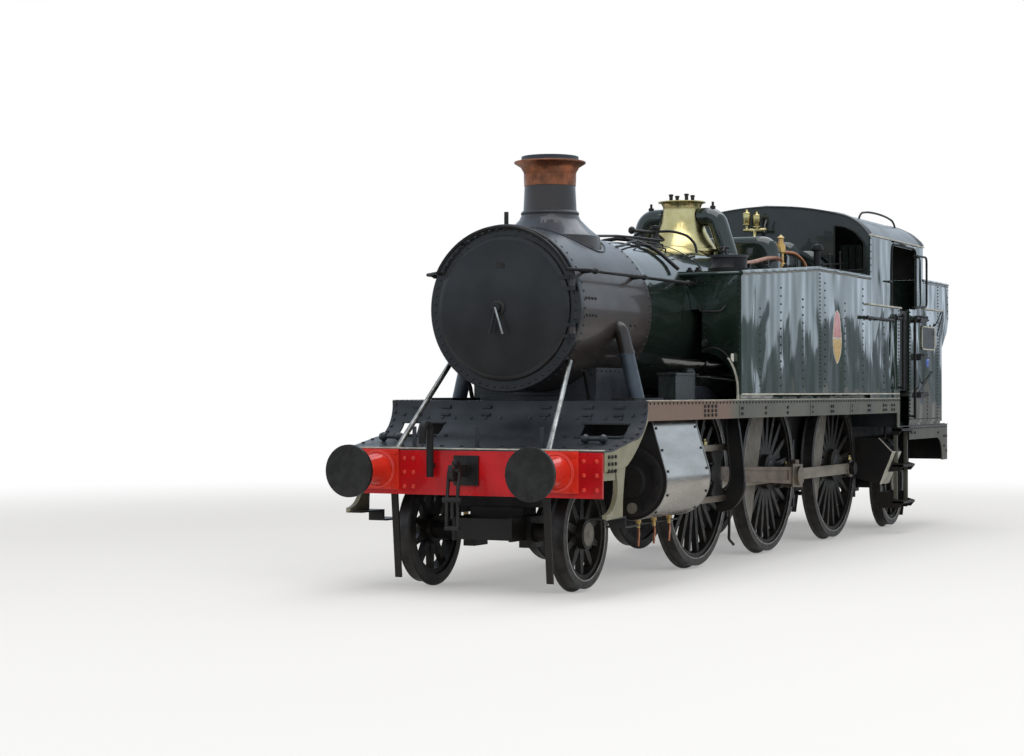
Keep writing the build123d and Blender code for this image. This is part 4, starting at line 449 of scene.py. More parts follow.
# node, finishes, bevel in mm, rule
for node, finishes, bevel_mm, rule in (
    ("chimney_cap", [CAP_COPPER, PLATE_BLACK], 3, lambda c, n: int(c.z > up(3.9035))),
    ("side_tanks", [BODY_GREEN, CHASSIS_BLACK], 0, tank_rule),
    # the inner faces of the cab in a dark finish are painted shade
    ("cab_sides", [BODY_GREEN, CAB_INSIDE_SHADE], 2, lambda c, n: int(n.y * c.y < -0.5 * abs(c.y))),
    ("cab_front", [SHADED_FRONT_GREEN, CAB_INSIDE_SHADE], 2, lambda c, n: int(n.x < -0.5)),
    ("cab_back", [BODY_GREEN, CAB_INSIDE_SHADE], 2, lambda c, n: int(n.x > 0.5)),
    ("cab_roof", [ROOF_GREY, CAB_INSIDE_SHADE], 2, roof_rule),
    ("cab_floor", [FLOOR_WOOD, CAB_INSIDE_SHADE], 2, lambda c, n: int(n.z < 0.9)),
    ("cylinders", [CLADDING_STEEL, CHASSIS_BLACK], 6, lambda c, n: int(abs(n.x) > 0.9)),
    ("front_buffer_beam", [BEAM_RED, CHASSIS_BLACK], 3,
     lambda c, n: int(c.x < 5.671 and (c.z < up(0.84) or n.x < 0.9) and abs(abs(c.y) - 0.745) < 0.06)),
    ("valances", [VALANCE_OLIVE, LEG_CREAM], 2, lambda c, n: int(c.x > 4.72)),
    ("footsteps", [CHASSIS_BLACK, LEG_CREAM], 3, lambda c, n: int(c.x > 5.18 and c.z > up(0.668))),
    ("steam_pipes", [PIPE_BLUE, CHASSIS_BLACK], 4, lambda c, n: int(c.z < up(1.69))),
    ("buffers", [HOUSING_RED, CHASSIS_BLACK, DARK_STEEL], 4, buffer_rule),
    ("connecting_rod_left", [ROD_STEEL, ROD_WEB], 4, web_rule("connecting_rod_left")),
    ("connecting_rod_right", [ROD_STEEL, ROD_WEB], 4, web_rule("connecting_rod_right")),
    # the pale lower outer faces of the rear sandboxes are a painted highlight
    ("rear_sandboxes", [CHASSIS_BLACK, PALE_PAINT_AND_HIGHLIGHT], 5, lambda c, n: int(n.z < -0.2 and abs(n.y) > 0.5)),
):
    dressed(node, finishes, bevel_mm, rule)

# %% [markdown]
# ## Forms built by hand
# The small fittings share a few ways of making a form: a box with eased edges, a flat plate with an outline,
# a turned shape about any axis, and a tube along a bent line. Each one is added to a growing piece, with its
# own finish, and the piece is turned into one mesh for its body at the end. A form on the left may be copied
# to the right by mirroring it across the centre line.

# %% Piece builder
class Piece:
    """One mesh being put together for one body, each form in it with a finish."""

    def __init__(self, name, body, slot):
        self.name, self.body, self.slot, self.form, self.finishes = name, body, slot, bmesh.new(), []

    def index(self, material):
        if material not in self.finishes:
            self.finishes.append(material)
        return self.finishes.index(material)

    def faces(self, points, faces, material, smooth=False, both=False):
        """Add corners and faces, and their twin on the other side if asked."""
        for side in ((1, -1) if both else (1,)):
            corners = [self.form.verts.new((p[0], side * p[1], p[2])) for p in points]
            for loop in faces:
                face = self.form.faces.new([corners[i] for i in (loop if side == 1 else reversed(loop))])
                face.material_index, face.smooth = self.index(material), smooth

    def box(self, low, high, material, both=False, ease=0.002):
        """A box from one corner to the other, its twelve edges eased."""
        part = bmesh.new()
        bmesh.ops.create_cube(part, size=1.0)
        size = [max(h - l, 1e-4) for l, h in zip(low, high)]
        bmesh.ops.transform(part, verts=part.verts, matrix=Matrix.Translation(
            [(l + h) / 2 for l, h in zip(low, high)]) @ Matrix.Diagonal((*size, 1)))
        bmesh.ops.bevel(
            part, geom=part.edges, offset=min(ease, 0.3 * min(size)), segments=1, affect="EDGES")
        self.take(part, material, both)

    def take(self, part, material, both=False, smooth=False):
        """Take over every face of another form."""
        part.verts.index_update()
        self.faces(
            [v.co.copy() for v in part.verts], [[v.index for v in f.verts] for f in part.faces], material,
            smooth, both)
        part.free()

    def plate(self, outline, place, thickness, material, both=False):
        """A flat plate: outline, a function that puts an outline point at a depth, and thickness."""
        n = len(outline)
        points = [place(a, b, 0.0) for a, b in outline] + [place(a, b, thickness) for a, b in outline]
        faces = [list(range(n)), list(range(2 * n - 1, n - 1, -1))]
        faces += [[i, n + i, n + (i + 1) % n, (i + 1) % n] for i in range(n)]
        part = bmesh.new()
        corners = [part.verts.new(p) for p in points]
        for loop in faces:
            part.faces.new([corners[i] for i in loop])
        bmesh.ops.recalc_face_normals(part, faces=part.faces)
        self.take(part, material, both)

    def turned(self, centre, axis, profile, material, both=False, steps=32):
        """A closed shape turned about an axis, from points of radius and distance along it."""
        spin = Vector(axis).to_track_quat("Z", "Y").to_matrix()
        part = bmesh.new()
        turns = [math.tau * i / steps for i in range(steps)]
        rings = []
        for radius, along in profile:
            if radius < 1e-6:
                rings.append([part.verts.new(Vector(centre) + spin @ Vector((0, 0, along)))])
            else:
                ring = [Vector((radius * math.cos(turn), radius * math.sin(turn), along)) for turn in turns]
                rings.append([part.verts.new(Vector(centre) + spin @ spot) for spot in ring])
        for lower, upper in zip(rings, rings[1:]):
            for i in range(steps):
                j = (i + 1) % steps
                loop = [
                    lower[i % len(lower)], lower[j % len(lower)], upper[j % len(upper)],
                    upper[i % len(upper)]]
                part.faces.new(list(dict.fromkeys(loop)))
        bmesh.ops.recalc_face_normals(part, faces=part.faces)
        self.take(part, material, both, smooth=True)

    def tube(self, points, radius, material, both=False, sides=10, corner=0.05, flat=None):
        """A bar along a bent line with rounded corners, flat if it is given a second radius."""
        line = rounded(points, corner)
        part = bmesh.new()
        turns = [math.tau * k / sides for k in range(sides)]
        rings, rise = [], None
        for i, spot in enumerate(line):
            ahead = (line[min(i + 1, len(line) - 1)] - line[max(i - 1, 0)]).normalized()
            rise = (ahead.orthogonal() if rise is None else rise - ahead * rise.dot(ahead)).normalized()
            across = ahead.cross(rise)
            ring = [spot + rise * radius * math.cos(turn) + across * (flat or radius) * math.sin(turn)
                    for turn in turns]
            rings.append([part.verts.new(corner_spot) for corner_spot in ring])
        for lower, upper in zip(rings, rings[1:]):
            for k in range(sides):
                m = (k + 1) % sides
                part.faces.new([lower[k], lower[m], upper[m], upper[k]])
        part.faces.new(list(reversed(rings[0])))
        part.faces.new(rings[-1])
        bmesh.ops.recalc_face_normals(part, faces=part.faces)
        self.take(part, material, both, smooth=True)

    def done(self):
        """Turn the piece into an object that rides on its body."""
        mesh = bpy.data.meshes.new(self.name)
        self.form.to_mesh(mesh)
        self.form.free()
        for material in self.finishes:
            mesh.materials.append(material)
        mesh.set_sharp_from_angle(angle=math.radians(40))
        made = bpy.data.objects.new(self.name, mesh)
        bpy.context.scene.collection.objects.link(made)
        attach(made, self.body)
        return made


def rounded(points, corner, steps=5):
    """The points of a bent line, with each corner replaced by a short arc."""
    spots = [Vector(p) for p in points]
    line = [spots[0]]
    for before, here, after in zip(spots, spots[1:], spots[2:]):
        reach = min(corner, (here - before).length * 0.45, (after - here).length * 0.45)
        start, end = here + (before - here).normalized() * reach, here + (after - here).normalized() * reach
        line += [
            start.lerp(here, t).lerp(here.lerp(end, t), t) for t in (k / steps for k in range(steps + 1))]
    return line + [spots[-1]]


def on_x(x):
    """Puts a plate drawn in Y and height at one X, growing forward."""
    return lambda y, height, depth: (x + depth, y, up(height))


def on_y(y):
    """Puts a plate drawn in X and height at one Y, growing outward."""
    return lambda x, height, depth: (x, y + depth, up(height))


print("builder ready")

# %% [markdown]
# ## Rivets and bolts
# Old plate work is held by hundreds of equal rivets, so they are not placed by hand. A small node tree takes
# lines that lie on the plates, walks along each at a given pitch, and sets a snap head square to the plate,
# whose direction each line carries with it. A second tree sets a round stud on every loose point, and a third
# a hexagon bolt. A tree runs once for each group of heads, and its result is kept as a plain mesh.

# %% Rivet and bolt trees
def head_tree(name, walked, sides):
    """Heads at a pitch along lines, or at every point, facing the way the points say."""
    tree = bpy.data.node_groups.new(name, "GeometryNodeTree")
    inputs = {"Geometry": "Geometry", "Pitch": "Float", "Head radius": "Float", "Finish": "Material"}
    for label, kind in inputs.items():
        tree.interface.new_socket(label, in_out="INPUT", socket_type="NodeSocket" + kind)
    tree.interface.new_socket("Geometry", in_out="OUTPUT", socket_type="NodeSocketGeometry")
    given = add_node(tree, "NodeGroupInput").outputs
    spots = given["Geometry"]
    if walked:
        lines = add_node(tree, "GeometryNodeMeshToCurve", {"Mesh": spots}).outputs[0]
        walk = add_node(
            tree, "GeometryNodeResampleCurve", {"Curve": lines, "Length": given["Pitch"]}, mode="LENGTH")
        spots = walk.outputs[0]
    if sides == 6:
        head = add_node(tree, "GeometryNodeMeshCylinder", {"Vertices": sides, "Depth": 1.3}).outputs["Mesh"]
    else:
        ball = add_node(tree, "GeometryNodeMeshUVSphere", {"Segments": sides, "Rings": 6}).outputs["Mesh"]
        head = add_node(tree, "GeometryNodeTransform", {"Geometry": ball, "Scale": (1, 1, 0.72)}).outputs[0]
    facing = add_node(tree, "GeometryNodeInputNamedAttribute", {"Name": "facing"}, data_type="FLOAT_VECTOR")
    turn = add_node(
        tree, "FunctionNodeAlignRotationToVector", {"Vector": facing.outputs["Attribute"]}, axis="Z")
    placed = add_node(tree, "GeometryNodeInstanceOnPoints", {
        "Points": spots, "Instance": head, "Rotation": turn.outputs[0], "Scale": given["Head radius"]})
    real = add_node(tree, "GeometryNodeRealizeInstances", {"Geometry": placed.outputs[0]})
    painted = add_node(
        tree, "GeometryNodeSetMaterial", {"Geometry": real.outputs[0], "Material": given["Finish"]})
    add_node(tree, "NodeGroupOutput", {"Geometry": painted.outputs[0]})
    return tree


RIVET_TREE = head_tree("rivet_rows", True, 10)
STUD_TREE = head_tree("round_studs", False, 12)
BOLT_TREE = head_tree("bolt_set", False, 6)


def heads(piece, tree, runs, pitch, radius, material, both=True):
    """Run a tree over rows of (points, facing) and add the heads to a piece."""
    mesh = bpy.data.meshes.new("rows")
    points, edges, ways = [], [], []
    for spots, way in runs:
        facing = way if callable(way) else (lambda p, way=way: way)
        first = len(points)
        points += [tuple(p) for p in spots]
        ways += [tuple(facing(p)) for p in spots]
        if tree is RIVET_TREE:
            edges += [(i, i + 1) for i in range(first, len(points) - 1)]
    mesh.from_pydata(points, edges, [])
    directions = mesh.attributes.new("facing", "FLOAT_VECTOR", "POINT").data
    directions.foreach_set("vector", [c for way in ways for c in way])
    rows = bpy.data.objects.new("rows", mesh)
    bpy.context.scene.collection.objects.link(rows)
    modifier = rows.modifiers.new("heads", "NODES")
    modifier.node_group = tree
    values = {"Pitch": pitch, "Head radius": radius, "Finish": material}
    for item in tree.interface.items_tree:
        if item.in_out == "INPUT" and item.name in values:
            modifier[item.identifier] = values[item.name]
    bpy.context.view_layer.update()
    made = bpy.data.meshes.new_from_object(rows.evaluated_get(bpy.context.evaluated_depsgraph_get()))
    bpy.data.objects.remove(rows)
    part = bmesh.new()
    part.from_mesh(made)
    count = len(made.polygons)
    piece.take(part, material, both, smooth=tree is not BOLT_TREE)
    bpy.data.meshes.remove(made)
    return count


def loose_heads(piece, tree, points, way, radius, material, both=True):
    """One head on each of some loose points that face one way."""
    return heads(piece, tree, [([point], way) for point in points], 0, radius, material, both)


print("trees", RIVET_TREE.name, STUD_TREE.name, BOLT_TREE.name)

# %% [markdown]
# ## Lines that the fittings follow
# Rivets and pipes lie on curved plates, so a few small functions give a point on the boiler, the smokebox or
# the tank's sloping top, and the direction that stands square to it there. Two more place a line that is
# drawn by its heights above the rail, one on the side plates and one across the engine.

# %% Lines on the engine
SMOKEBOX_R, SMOKEBOX_FRONT_X, SMOKEBOX_REAR_X = 0.753, 4.97, 3.34
BARREL_FRONT_R, BARREL_LONG, BARREL_TAPER = 0.728, 3.47, 0.127
TANK_TOP, TANK_FALL = 3.115, 0.175
FORWARD, REARWARD = Vector((1, 0, 0)), Vector((-1, 0, 0))
OUTWARD, UPWARD = Vector((0, 1, 0)), Vector((0, 0, 1))


def side_line(line, out=-0.001):
    """Points of X and height on the side plates, moved out by a distance."""
    return [(x, HALF + out, up(height)) for x, height in line]


def cross_line(x, line):
    """Points of Y and height at one X."""
    return [(x, y, up(height)) for y, height in line]


def circle(radius, number, more=0):
    """Pairs of coordinates round a circle, with some of them again at the end."""
    turns = [math.tau * i / number for i in range(number + more)]
    return [(radius * math.cos(turn), radius * math.sin(turn)) for turn in turns]


def tank_top(x):
    """Height of the tank's top, which slopes down ahead of the bend."""
    return up(TANK_TOP - TANK_FALL * max(0.0, x - TANK_BEND_X) / (TANK_FRONT_X - TANK_BEND_X))


def round_boiler(x, radius, start, end, steps=60):
    """Points on an arc about the boiler, in degrees from its top towards the left."""
    turns = [math.radians(start + (end - start) * i / steps) for i in range(steps + 1)]
    return [(x, radius * math.sin(t), BOILER_Z + radius * math.cos(t)) for t in turns]


def barrel_r(x):
    """Radius of the tapered barrel."""
    return BARREL_FRONT_R + (SMOKEBOX_REAR_X - x) / BARREL_LONG * BARREL_TAPER


def on_barrel(x, y, lift=0.0):
    """A point above the barrel, on its upper left."""
    return (x, y, BOILER_Z + math.sqrt((barrel_r(x) + lift) ** 2 - y * y))


def from_boiler(spot):
    """The direction that stands square to the boiler."""
    return Vector((0, spot[1], spot[2] - BOILER_Z)).normalized()


print("tank top", round(tank_top(TANK_FRONT_X), 3), round(tank_top(TANK_BEND_X), 3))

# %% [markdown]
# ## Smokebox and door
# The smokebox is rolled plate, riveted to a ring at the front and to the boiler at the back. Its front ring
# is gloss black. The chimney's foot is a thin riveted saddle, and the door has a rim, a dart with its handle,
# a small knob, and a lamp iron above.

# %% Smokebox fittings
SHELL_R, CHIMNEY_X = 0.757, 4.02


def on_shell(x, y):
    """A point on the upper half of the smokebox."""
    return (x, y, BOILER_Z + math.sqrt(SHELL_R ** 2 - y * y))


box_trim = Piece("smokebox_trim", "engine", "smokebox_black")
box_trim.turned((4.9, 0, BOILER_Z), FORWARD, [
    (0.752, 0), (0.757, 0.002), (0.757, 0.07), (0.748, 0.078), (0.66, 0.078), (0.66, 0.07), (0.74, 0.07),
    (0.752, 0)], RING_BLACK, steps=96)
rows = [(round_boiler(x, SMOKEBOX_R - 0.003, -178, 178), from_boiler) for x in (4.875, 3.39)]
rows.append((round_boiler(SMOKEBOX_FRONT_X + 0.006, 0.71, -178, 178), FORWARD))
count = heads(box_trim, RIVET_TREE, rows, 0.076, 0.0165, RING_BLACK, both=False)
# loose studs: start x, end x, degrees from the top, how many
studs = []
rows = [
    (4.84, 4.64, 83.5, 4), (4.83, 4.63, 95, 4), (3.823, 3.718, 100, 2), (4.43, 4.02, 138, 5),
    (3.6, 3.5, 62, 2)]
for start, end, degrees, number in rows:
    for i in range(number):
        x = start + (end - start) * i / (number - 1)
        studs += round_boiler(x, SMOKEBOX_R, degrees, degrees, 1)[:1]
count += loose_heads(box_trim, STUD_TREE, studs, from_boiler, 0.0175, RING_BLACK)
# the riveted edge of the chimney's foot
foot = [on_shell(CHIMNEY_X + dx, dy) for dx, dy in circle(0.47, 28)]
count += loose_heads(box_trim, STUD_TREE, foot, from_boiler, 0.013, RING_BLACK, both=False)
rim = [on_shell(CHIMNEY_X + dx, dy) for dx, dy in circle(0.52, 48, 1)]
box_trim.tube(rim, 0.007, PLATE_BLACK, corner=0.01, sides=6)
box_trim.turned((CHIMNEY_X, 0, up(3.39)), UPWARD, [
    (0.25, 0), (0.272, 0.008), (0.276, 0.024), (0.268, 0.04), (0.25, 0.048), (0.25, 0)], PLATE_BLACK,
    steps=48)
# lamp iron over the door
box_trim.box((4.93, -0.02, up(3.2)), (4.944, 0.02, up(3.36)), DARK_STEEL)
box_trim.box((4.9, -0.035, up(3.225)), (4.97, 0.035, up(3.24)), DARK_STEEL)
# a pipe down each side of the saddle, and the saddle's bolts
box_trim.tube([
    (4.6, 0.62, up(1.93)), (4.5, 0.60, up(1.80)), (4.45, 0.60, up(1.67))], 0.02, CHASSIS_BLACK, both=True)
rows = [
    ([(x, 0.597, up(1.93)) for x in (3.55, 4.26)], OUTWARD),
    (cross_line(4.284, [(-0.55, 1.9), (0.55, 1.9)]), FORWARD)]
count += heads(box_trim, RIVET_TREE, rows, 0.1, 0.013, PLATE_BLACK)
box_trim.done()

door_trim = Piece("door_trim", "door_of_smokebox", "smokebox_black")
door_trim.turned((4.972, 0, BOILER_Z), FORWARD, [
    (0.6, 0.02), (0.652, 0.001), (0.656, 0.006), (0.656, 0.024), (0.646, 0.032), (0.61, 0.036),
    (0.6, 0.02)], RING_BLACK, steps=96)
door_trim.turned((5.09, 0, BOILER_Z), FORWARD, [
    (0, 0), (0.07, 0), (0.07, 0.02), (0.045, 0.03), (0.04, 0.07), (0, 0.07)], DARK_STEEL)
door_trim.tube([(5.165, 0, BOILER_Z), (5.17, 0.08, BOILER_Z - 0.24)], 0.011, BRIGHT_STEEL)
door_trim.turned(
    (5.06, 0, BOILER_Z + 0.36), FORWARD, [(0, 0), (0.05, 0), (0.05, 0.012), (0, 0.012)], DARK_STEEL)
rows = [(round_boiler(4.998, 0.63, -178, 178), FORWARD)]
count += heads(door_trim, RIVET_TREE, rows, 0.165, 0.011, PLATE_BLACK, both=False)
door_trim.done()
print("smokebox heads", count)

# %% [markdown]
# ## Boiler, safety valves and feed
# Thin bands hold the cladding over the barrel. A thick pipe bends over the boiler to each tank, a lever with
# a ball end runs to the regulator rod, and two flat handles lie ahead of the brass bonnet. Four studs stand
# in the bonnet, and one on each feed, and a sand pipe goes down ahead of the driving wheels. The bonnet and
# the whistles get brass rims, and a clack valve stands at each shoulder of the firebox.

# %% Boiler bands
boiler_trim = Piece("boiler_trim", "engine", "boiler_green")
# bands of the barrel: centre x, half width, how proud
for x, half, proud in ((3.27, 0.035, 0.006), (1.62, 0.025, 0.004), (-0.07, 0.03, 0.005)):
    inner, outer = barrel_r(x) - 0.01, barrel_r(x) + proud
    boiler_trim.turned((x, 0, BOILER_Z), FORWARD, [
        (inner, -half), (outer, -half), (outer, half), (inner, half), (inner, -half)], BOILER_GREEN,
        steps=96)
# bands of the firebox, whose top falls towards the cab
for x in (-0.9, -1.7):
    top = up(3.478 - 0.148 * (-0.13 - x) / 2.32)
    boiler_trim.tube([
        (x, 0.803, up(2.3)), (x, 0.803, top - 0.11), (x, 0.72, top + 0.003), (x, 0, top + 0.003)], 0.004,
        BOILER_GREEN, both=True, corner=0.13, flat=0.028)
boiler_trim.done()
print("barrel radius at the bands", [round(barrel_r(x), 3) for x in (3.27, 1.62, -0.07)])

# %% Boiler pipes and studs
pipes = Piece("boiler_pipes", "engine", "rail_steel")
over = [on_barrel(2.45, 0.795 * math.sin(math.radians(a)), 0.035) for a in (0, 12, 24, 36, 46)]
pipes.tube(over + [(2.45, 0.67, up(2.96))], 0.02, CHASSIS_BLACK, both=True, corner=0.09)
# two thin pipes that lie along the barrel: x, y, how far above the barrel
for line in (
    ((3.38, 0.40, 0.03), (3.1, 0.36, 0.03), (2.75, 0.28, 0.035), (2.50, 0.24, 0.035)),
    ((3.20, 0.05, 0.04), (2.6, 0.06, 0.06), (2.2, 0.14, 0.06), (1.6, 0.15, 0.05)),
):
    pipes.tube([on_barrel(*spot) for spot in line], 0.013, DARK_STEEL)
# the lever with its ball and pillar, and a link from the pillar down each side
pipes.tube([(2.07, 0, up(3.40)), (1.42, 0, up(3.42)), (1.2, 0, up(3.36))], 0.017, DARK_STEEL)
pipes.turned((2.06, 0, up(3.40)), FORWARD, [
    (0, -0.036), (0.026, -0.03), (0.04, 0), (0.026, 0.03), (0, 0.036)], DARK_STEEL)
pipes.turned((1.42, 0, up(3.30)), UPWARD, [
    (0, 0), (0.05, 0), (0.05, 0.06), (0.036, 0.075), (0.036, 0.15), (0.05, 0.16), (0.05, 0.19), (0, 0.2)],
    DARK_STEEL)
pipes.tube([
    (1.42, 0.02, up(3.43)), (1.42, 0.2, up(3.43)), (1.36, 0.34, up(3.38)), (1.3, 0.40, up(3.3)),
    (1.3, 0.42, up(3.2))], 0.014, DARK_STEEL, corner=0.08)
pipes.tube([
    (1.42, -0.02, up(3.43)), (1.42, -0.2, up(3.43)), (1.3, -0.40, up(3.3)), (1.3, -0.42, up(3.2))], 0.014,
    DARK_STEEL, corner=0.08)
# flat handles on the cladding: front x, y at the front and at the back
for front_x, y_front, y_back in ((2.72, 0.33, 0.42), (2.55, 0.22, 0.32)):
    back_x = front_x - 0.55
    pipes.tube([
        on_barrel(front_x, y_front, 0.006), on_barrel(front_x, y_front, 0.045),
        on_barrel(back_x, y_back, 0.045), on_barrel(back_x, y_back, 0.006)], 0.008, DARK_STEEL,
        corner=0.03)
# studs in the bonnet and on the feeds
for dx, dy in ((0.09, 0.09), (-0.09, 0.09), (0.09, -0.09), (-0.09, -0.09)):
    pipes.turned((0.67 + dx, dy, up(3.79)), UPWARD, [
        (0, 0), (0.028, 0), (0.028, 0.02), (0.02, 0.022), (0.02, 0.075), (0.026, 0.08), (0.026, 0.095),
        (0, 0.1)], DARK_STEEL, steps=12)
pipes.turned((0.67, 0.36, up(3.72)), UPWARD, [
    (0, 0), (0.03, 0), (0.03, 0.03), (0.014, 0.036), (0.014, 0.075), (0, 0.08)], DARK_STEEL, both=True,
    steps=12)
# the third stem beside the whistles, and their lever
pipes.tube([
    (-1.93, 0.036, up(3.66)), (-1.93, 0.036, up(3.74)), (-1.93, 0.06, up(3.81))], 0.01, BRIGHT_STEEL)
pipes.tube([
    (-2.07, -0.12, up(3.72)), (-1.95, -0.12, up(3.72)), (-1.93, -0.19, up(3.74))], 0.008, DARK_STEEL)
# sand pipe that goes down ahead of the driving wheel
pipes.tube([
    (1.33, 0.79, up(1.30)), (1.33, 0.79, up(0.27)), (1.29, 0.77, up(0.20)), (1.12, 0.76, up(0.13))],
    0.015, CHASSIS_BLACK, both=True, corner=0.06)
pipes.done()
print("boiler pipes done")

# %% Brass fittings
brass = Piece("brass_trim", "engine", "brass")
# rim at the bonnet's foot, and two rings on each whistle
brass.turned((0.67, 0, up(3.19)), UPWARD, [
    (0.36, 0.05), (0.408, 0.062), (0.404, 0.09), (0.36, 0.1), (0.36, 0.05)], BRASS, steps=64)
for y, top in ((-0.19, 3.943), (-0.063, 3.912)):
    for height in (top - 0.19, top - 0.06):
        brass.turned((-1.93, y, up(height)), UPWARD, [
            (0.04, 0), (0.051, 0.004), (0.051, 0.014), (0.04, 0.018), (0.04, 0)], BRASS, steps=24)
# clack valve at the firebox shoulder
brass.turned((-0.36, 0.78, up(3.12)), UPWARD, [
    (0, 0), (0.05, 0), (0.05, 0.05), (0.032, 0.07), (0.032, 0.16), (0.052, 0.18), (0.052, 0.25),
    (0.03, 0.28), (0.03, 0.33), (0.044, 0.34), (0, 0.38)], CREST_GOLD, both=True, steps=24)
brass.done()
print("brass fittings done")

# %% [markdown]
# ## Tanks
# The tank plates are riveted in columns to the stays inside, some columns only part of the height, with a
# double column where two plates meet. A half-round bead runs along the top edge and across the front, and a
# pale strip along the foot is a painted highlight. In front there is a grip, a small white enamel plate, a
# pale angle round the tunnel's mouth that is a painted highlight, and black inside the tunnel as painted shade.

# %% Tank plates
def rivet_columns(piece, columns):
    """Upright rows on the side plates, from x, foot, top and pitch; gives their number of faces."""
    total = 0
    for x, foot, top, pitch in columns:
        row = [(side_line([(x, foot), (x, top)]), OUTWARD)]
        total += heads(piece, RIVET_TREE, row, pitch, 0.0125, CHASSIS_BLACK)
    return total


tank_trim = Piece("tank_trim", "engine", "body_green")
# bead along the top edge and across the front, and a pale strip along the foot that is a painted highlight
bends = ((TANK_FRONT_X, 0.006), (TANK_BEND_X, 0), (CAB_FRONT_X, 0))
bead = [(x + ahead, HALF - 0.006, tank_top(x) - 0.028) for x, ahead in bends]
tank_trim.tube(bead, 0.028, BODY_GREEN, both=True)
tank_trim.tube([bead[0], (bead[0][0], 0.60, bead[0][2])], 0.018, BODY_GREEN, both=True)
tank_trim.box((-3.34, HALF - 0.01, up(1.706)), (2.33, HALF + 0.006, up(1.721)), PALE_PAINT_AND_HIGHLIGHT, both=True)
count = rivet_columns(tank_trim, [
    (1.793, 1.80, 2.58, 0.079), (1.143, 1.80, 2.82, 0.079), (0.422, 1.80, 2.73, 0.079),
    (-0.167, 1.80, 3.03, 0.042), (-0.346, 1.80, 2.94, 0.079), (-1.087, 1.80, 2.745, 0.079),
    (-1.792, 1.80, 2.94, 0.079)])
lines = [(0.60, 2.84), (1.27, 2.84)], [(0.905, 2.82), (0.905, 2.15)], [(1.272, 2.8), (1.272, 1.76)]
rows = [(cross_line(TANK_FRONT_X - 0.001, line), FORWARD) for line in lines]
count += heads(tank_trim, RIVET_TREE, rows, 0.052, 0.0115, CHASSIS_BLACK)
# mouth of the tunnel: y and height of its arch, the black edge along it, and the pale angle outside as a
# painted highlight
turns = [math.radians(degrees) for degrees in range(0, 91, 10)]
arch = [(0.975 + 0.29 * math.sin(turn), 1.745 + 0.43 * math.cos(turn)) for turn in turns]
mouth = [(0.88, 2.14)] + [(y + 0.004, height) for y, height in arch] + [(1.262, 1.70)]
tank_trim.tube(cross_line(TANK_FRONT_X + 0.004, mouth), 0.012, CHASSIS_BLACK, both=True, corner=0.05)
angle = [(y + 0.009, height) for y, height in arch[4:]] + [(1.274, 1.66), (1.252, 1.66)]
angle += [(y - 0.009, height) for y, height in reversed(arch[4:])]
tank_trim.plate(angle, on_x(TANK_FRONT_X - 0.02), 0.045, PALE_PAINT_AND_HIGHLIGHT, both=True)
# grip and enamel plate
tank_trim.tube([
    (2.33, 0.838, up(2.595)), (2.392, 0.88, up(2.532)), (2.392, 1.10, up(2.532)),
    (2.33, 1.126, up(2.595))], 0.012, DARK_STEEL, both=True)
tank_trim.box((2.338, 1.185, up(2.035)), (2.346, 1.215, up(2.115)), WHITE_ENAMEL, both=True)
print("tank heads", count)

# %% [markdown]
# ## Crest and tank top
# The crest on the side is a plain shield: a narrow round red head over a wider gold foot, inside a pale rim.
# Copper pipes run from the tanks to the firebox, a rod on two stands, a domed pillar and a few studs are set
# on top, and each filler lid has a clamp that opens with it.

# %% Crest
CREST_X, CREST_Z = -0.79, 2.36
# height above the middle, half width
SHIELD = [
    (-0.31, 0.0), (-0.27, 0.075), (-0.2, 0.13), (-0.1, 0.165), (-0.02, 0.17), (0.06, 0.15), (0.16, 0.125),
    (0.24, 0.1), (0.285, 0.06), (0.3, 0.0)]


def shield(low, high, shrink):
    """Outline of the part of the shield between two heights, drawn in by a distance."""
    steps = [low + (high - low) * i / 20 for i in range(21)]
    wide = []
    for height in steps:
        for (h0, w0), (h1, w1) in zip(SHIELD, SHIELD[1:]):
            if h0 <= height <= h1:
                wide.append(max(0.004, w0 + (w1 - w0) * (height - h0) / (h1 - h0) - shrink))
                break
    right = [(CREST_X - w, CREST_Z + h) for w, h in zip(wide, steps)]
    return [(CREST_X + w, CREST_Z + h) for w, h in zip(wide, steps)] + right[::-1]


for low, high, shrink, paint, proud in (
    (-0.31, 0.3, 0, PALE_PAINT_AND_HIGHLIGHT, 0.0012),
    (-0.01, 0.28, 0.022, CREST_RED, 0.002),
    (-0.285, -0.03, 0.022, CREST_GOLD, 0.002),
):
    tank_trim.plate(shield(low, high, shrink), on_y(HALF - 0.002), proud + 0.002, paint, both=True)
tank_trim.done()
print("crest at", CREST_X, CREST_Z)

# %% Tank pipes, top fittings and filler clamps
tank_pipes = Piece("tank_pipes", "engine", "copper")
tank_pipes.tube([
    (1.84, 1.0, up(3.02)), (1.5, 0.97, up(3.05)), (0.9, 0.90, up(3.11)), (0.2, 0.84, up(3.20)),
    (-0.28, 0.79, up(3.22)), (-0.40, 0.78, up(3.16))], 0.026, PIPE_COPPER, both=True, corner=0.3)
tank_pipes.tube([
    (-0.36, 0.78, up(3.30)), (-0.6, 0.86, up(3.30)), (-0.72, 0.92, up(3.22)), (-0.78, 0.95, up(3.10))],
    0.022, PIPE_COPPER, both=True, corner=0.2)
for x, y, height in ((1.2, 0.94, 3.03), (0.4, 0.86, 3.09)):
    tank_pipes.box(
        (x - 0.015, y - 0.04, up(height)), (x + 0.015, y + 0.04, up(height + 0.05)), DARK_STEEL,
        both=True)
tank_pipes.done()

tank_black = Piece("tank_top_fittings", "engine", "frame_black")
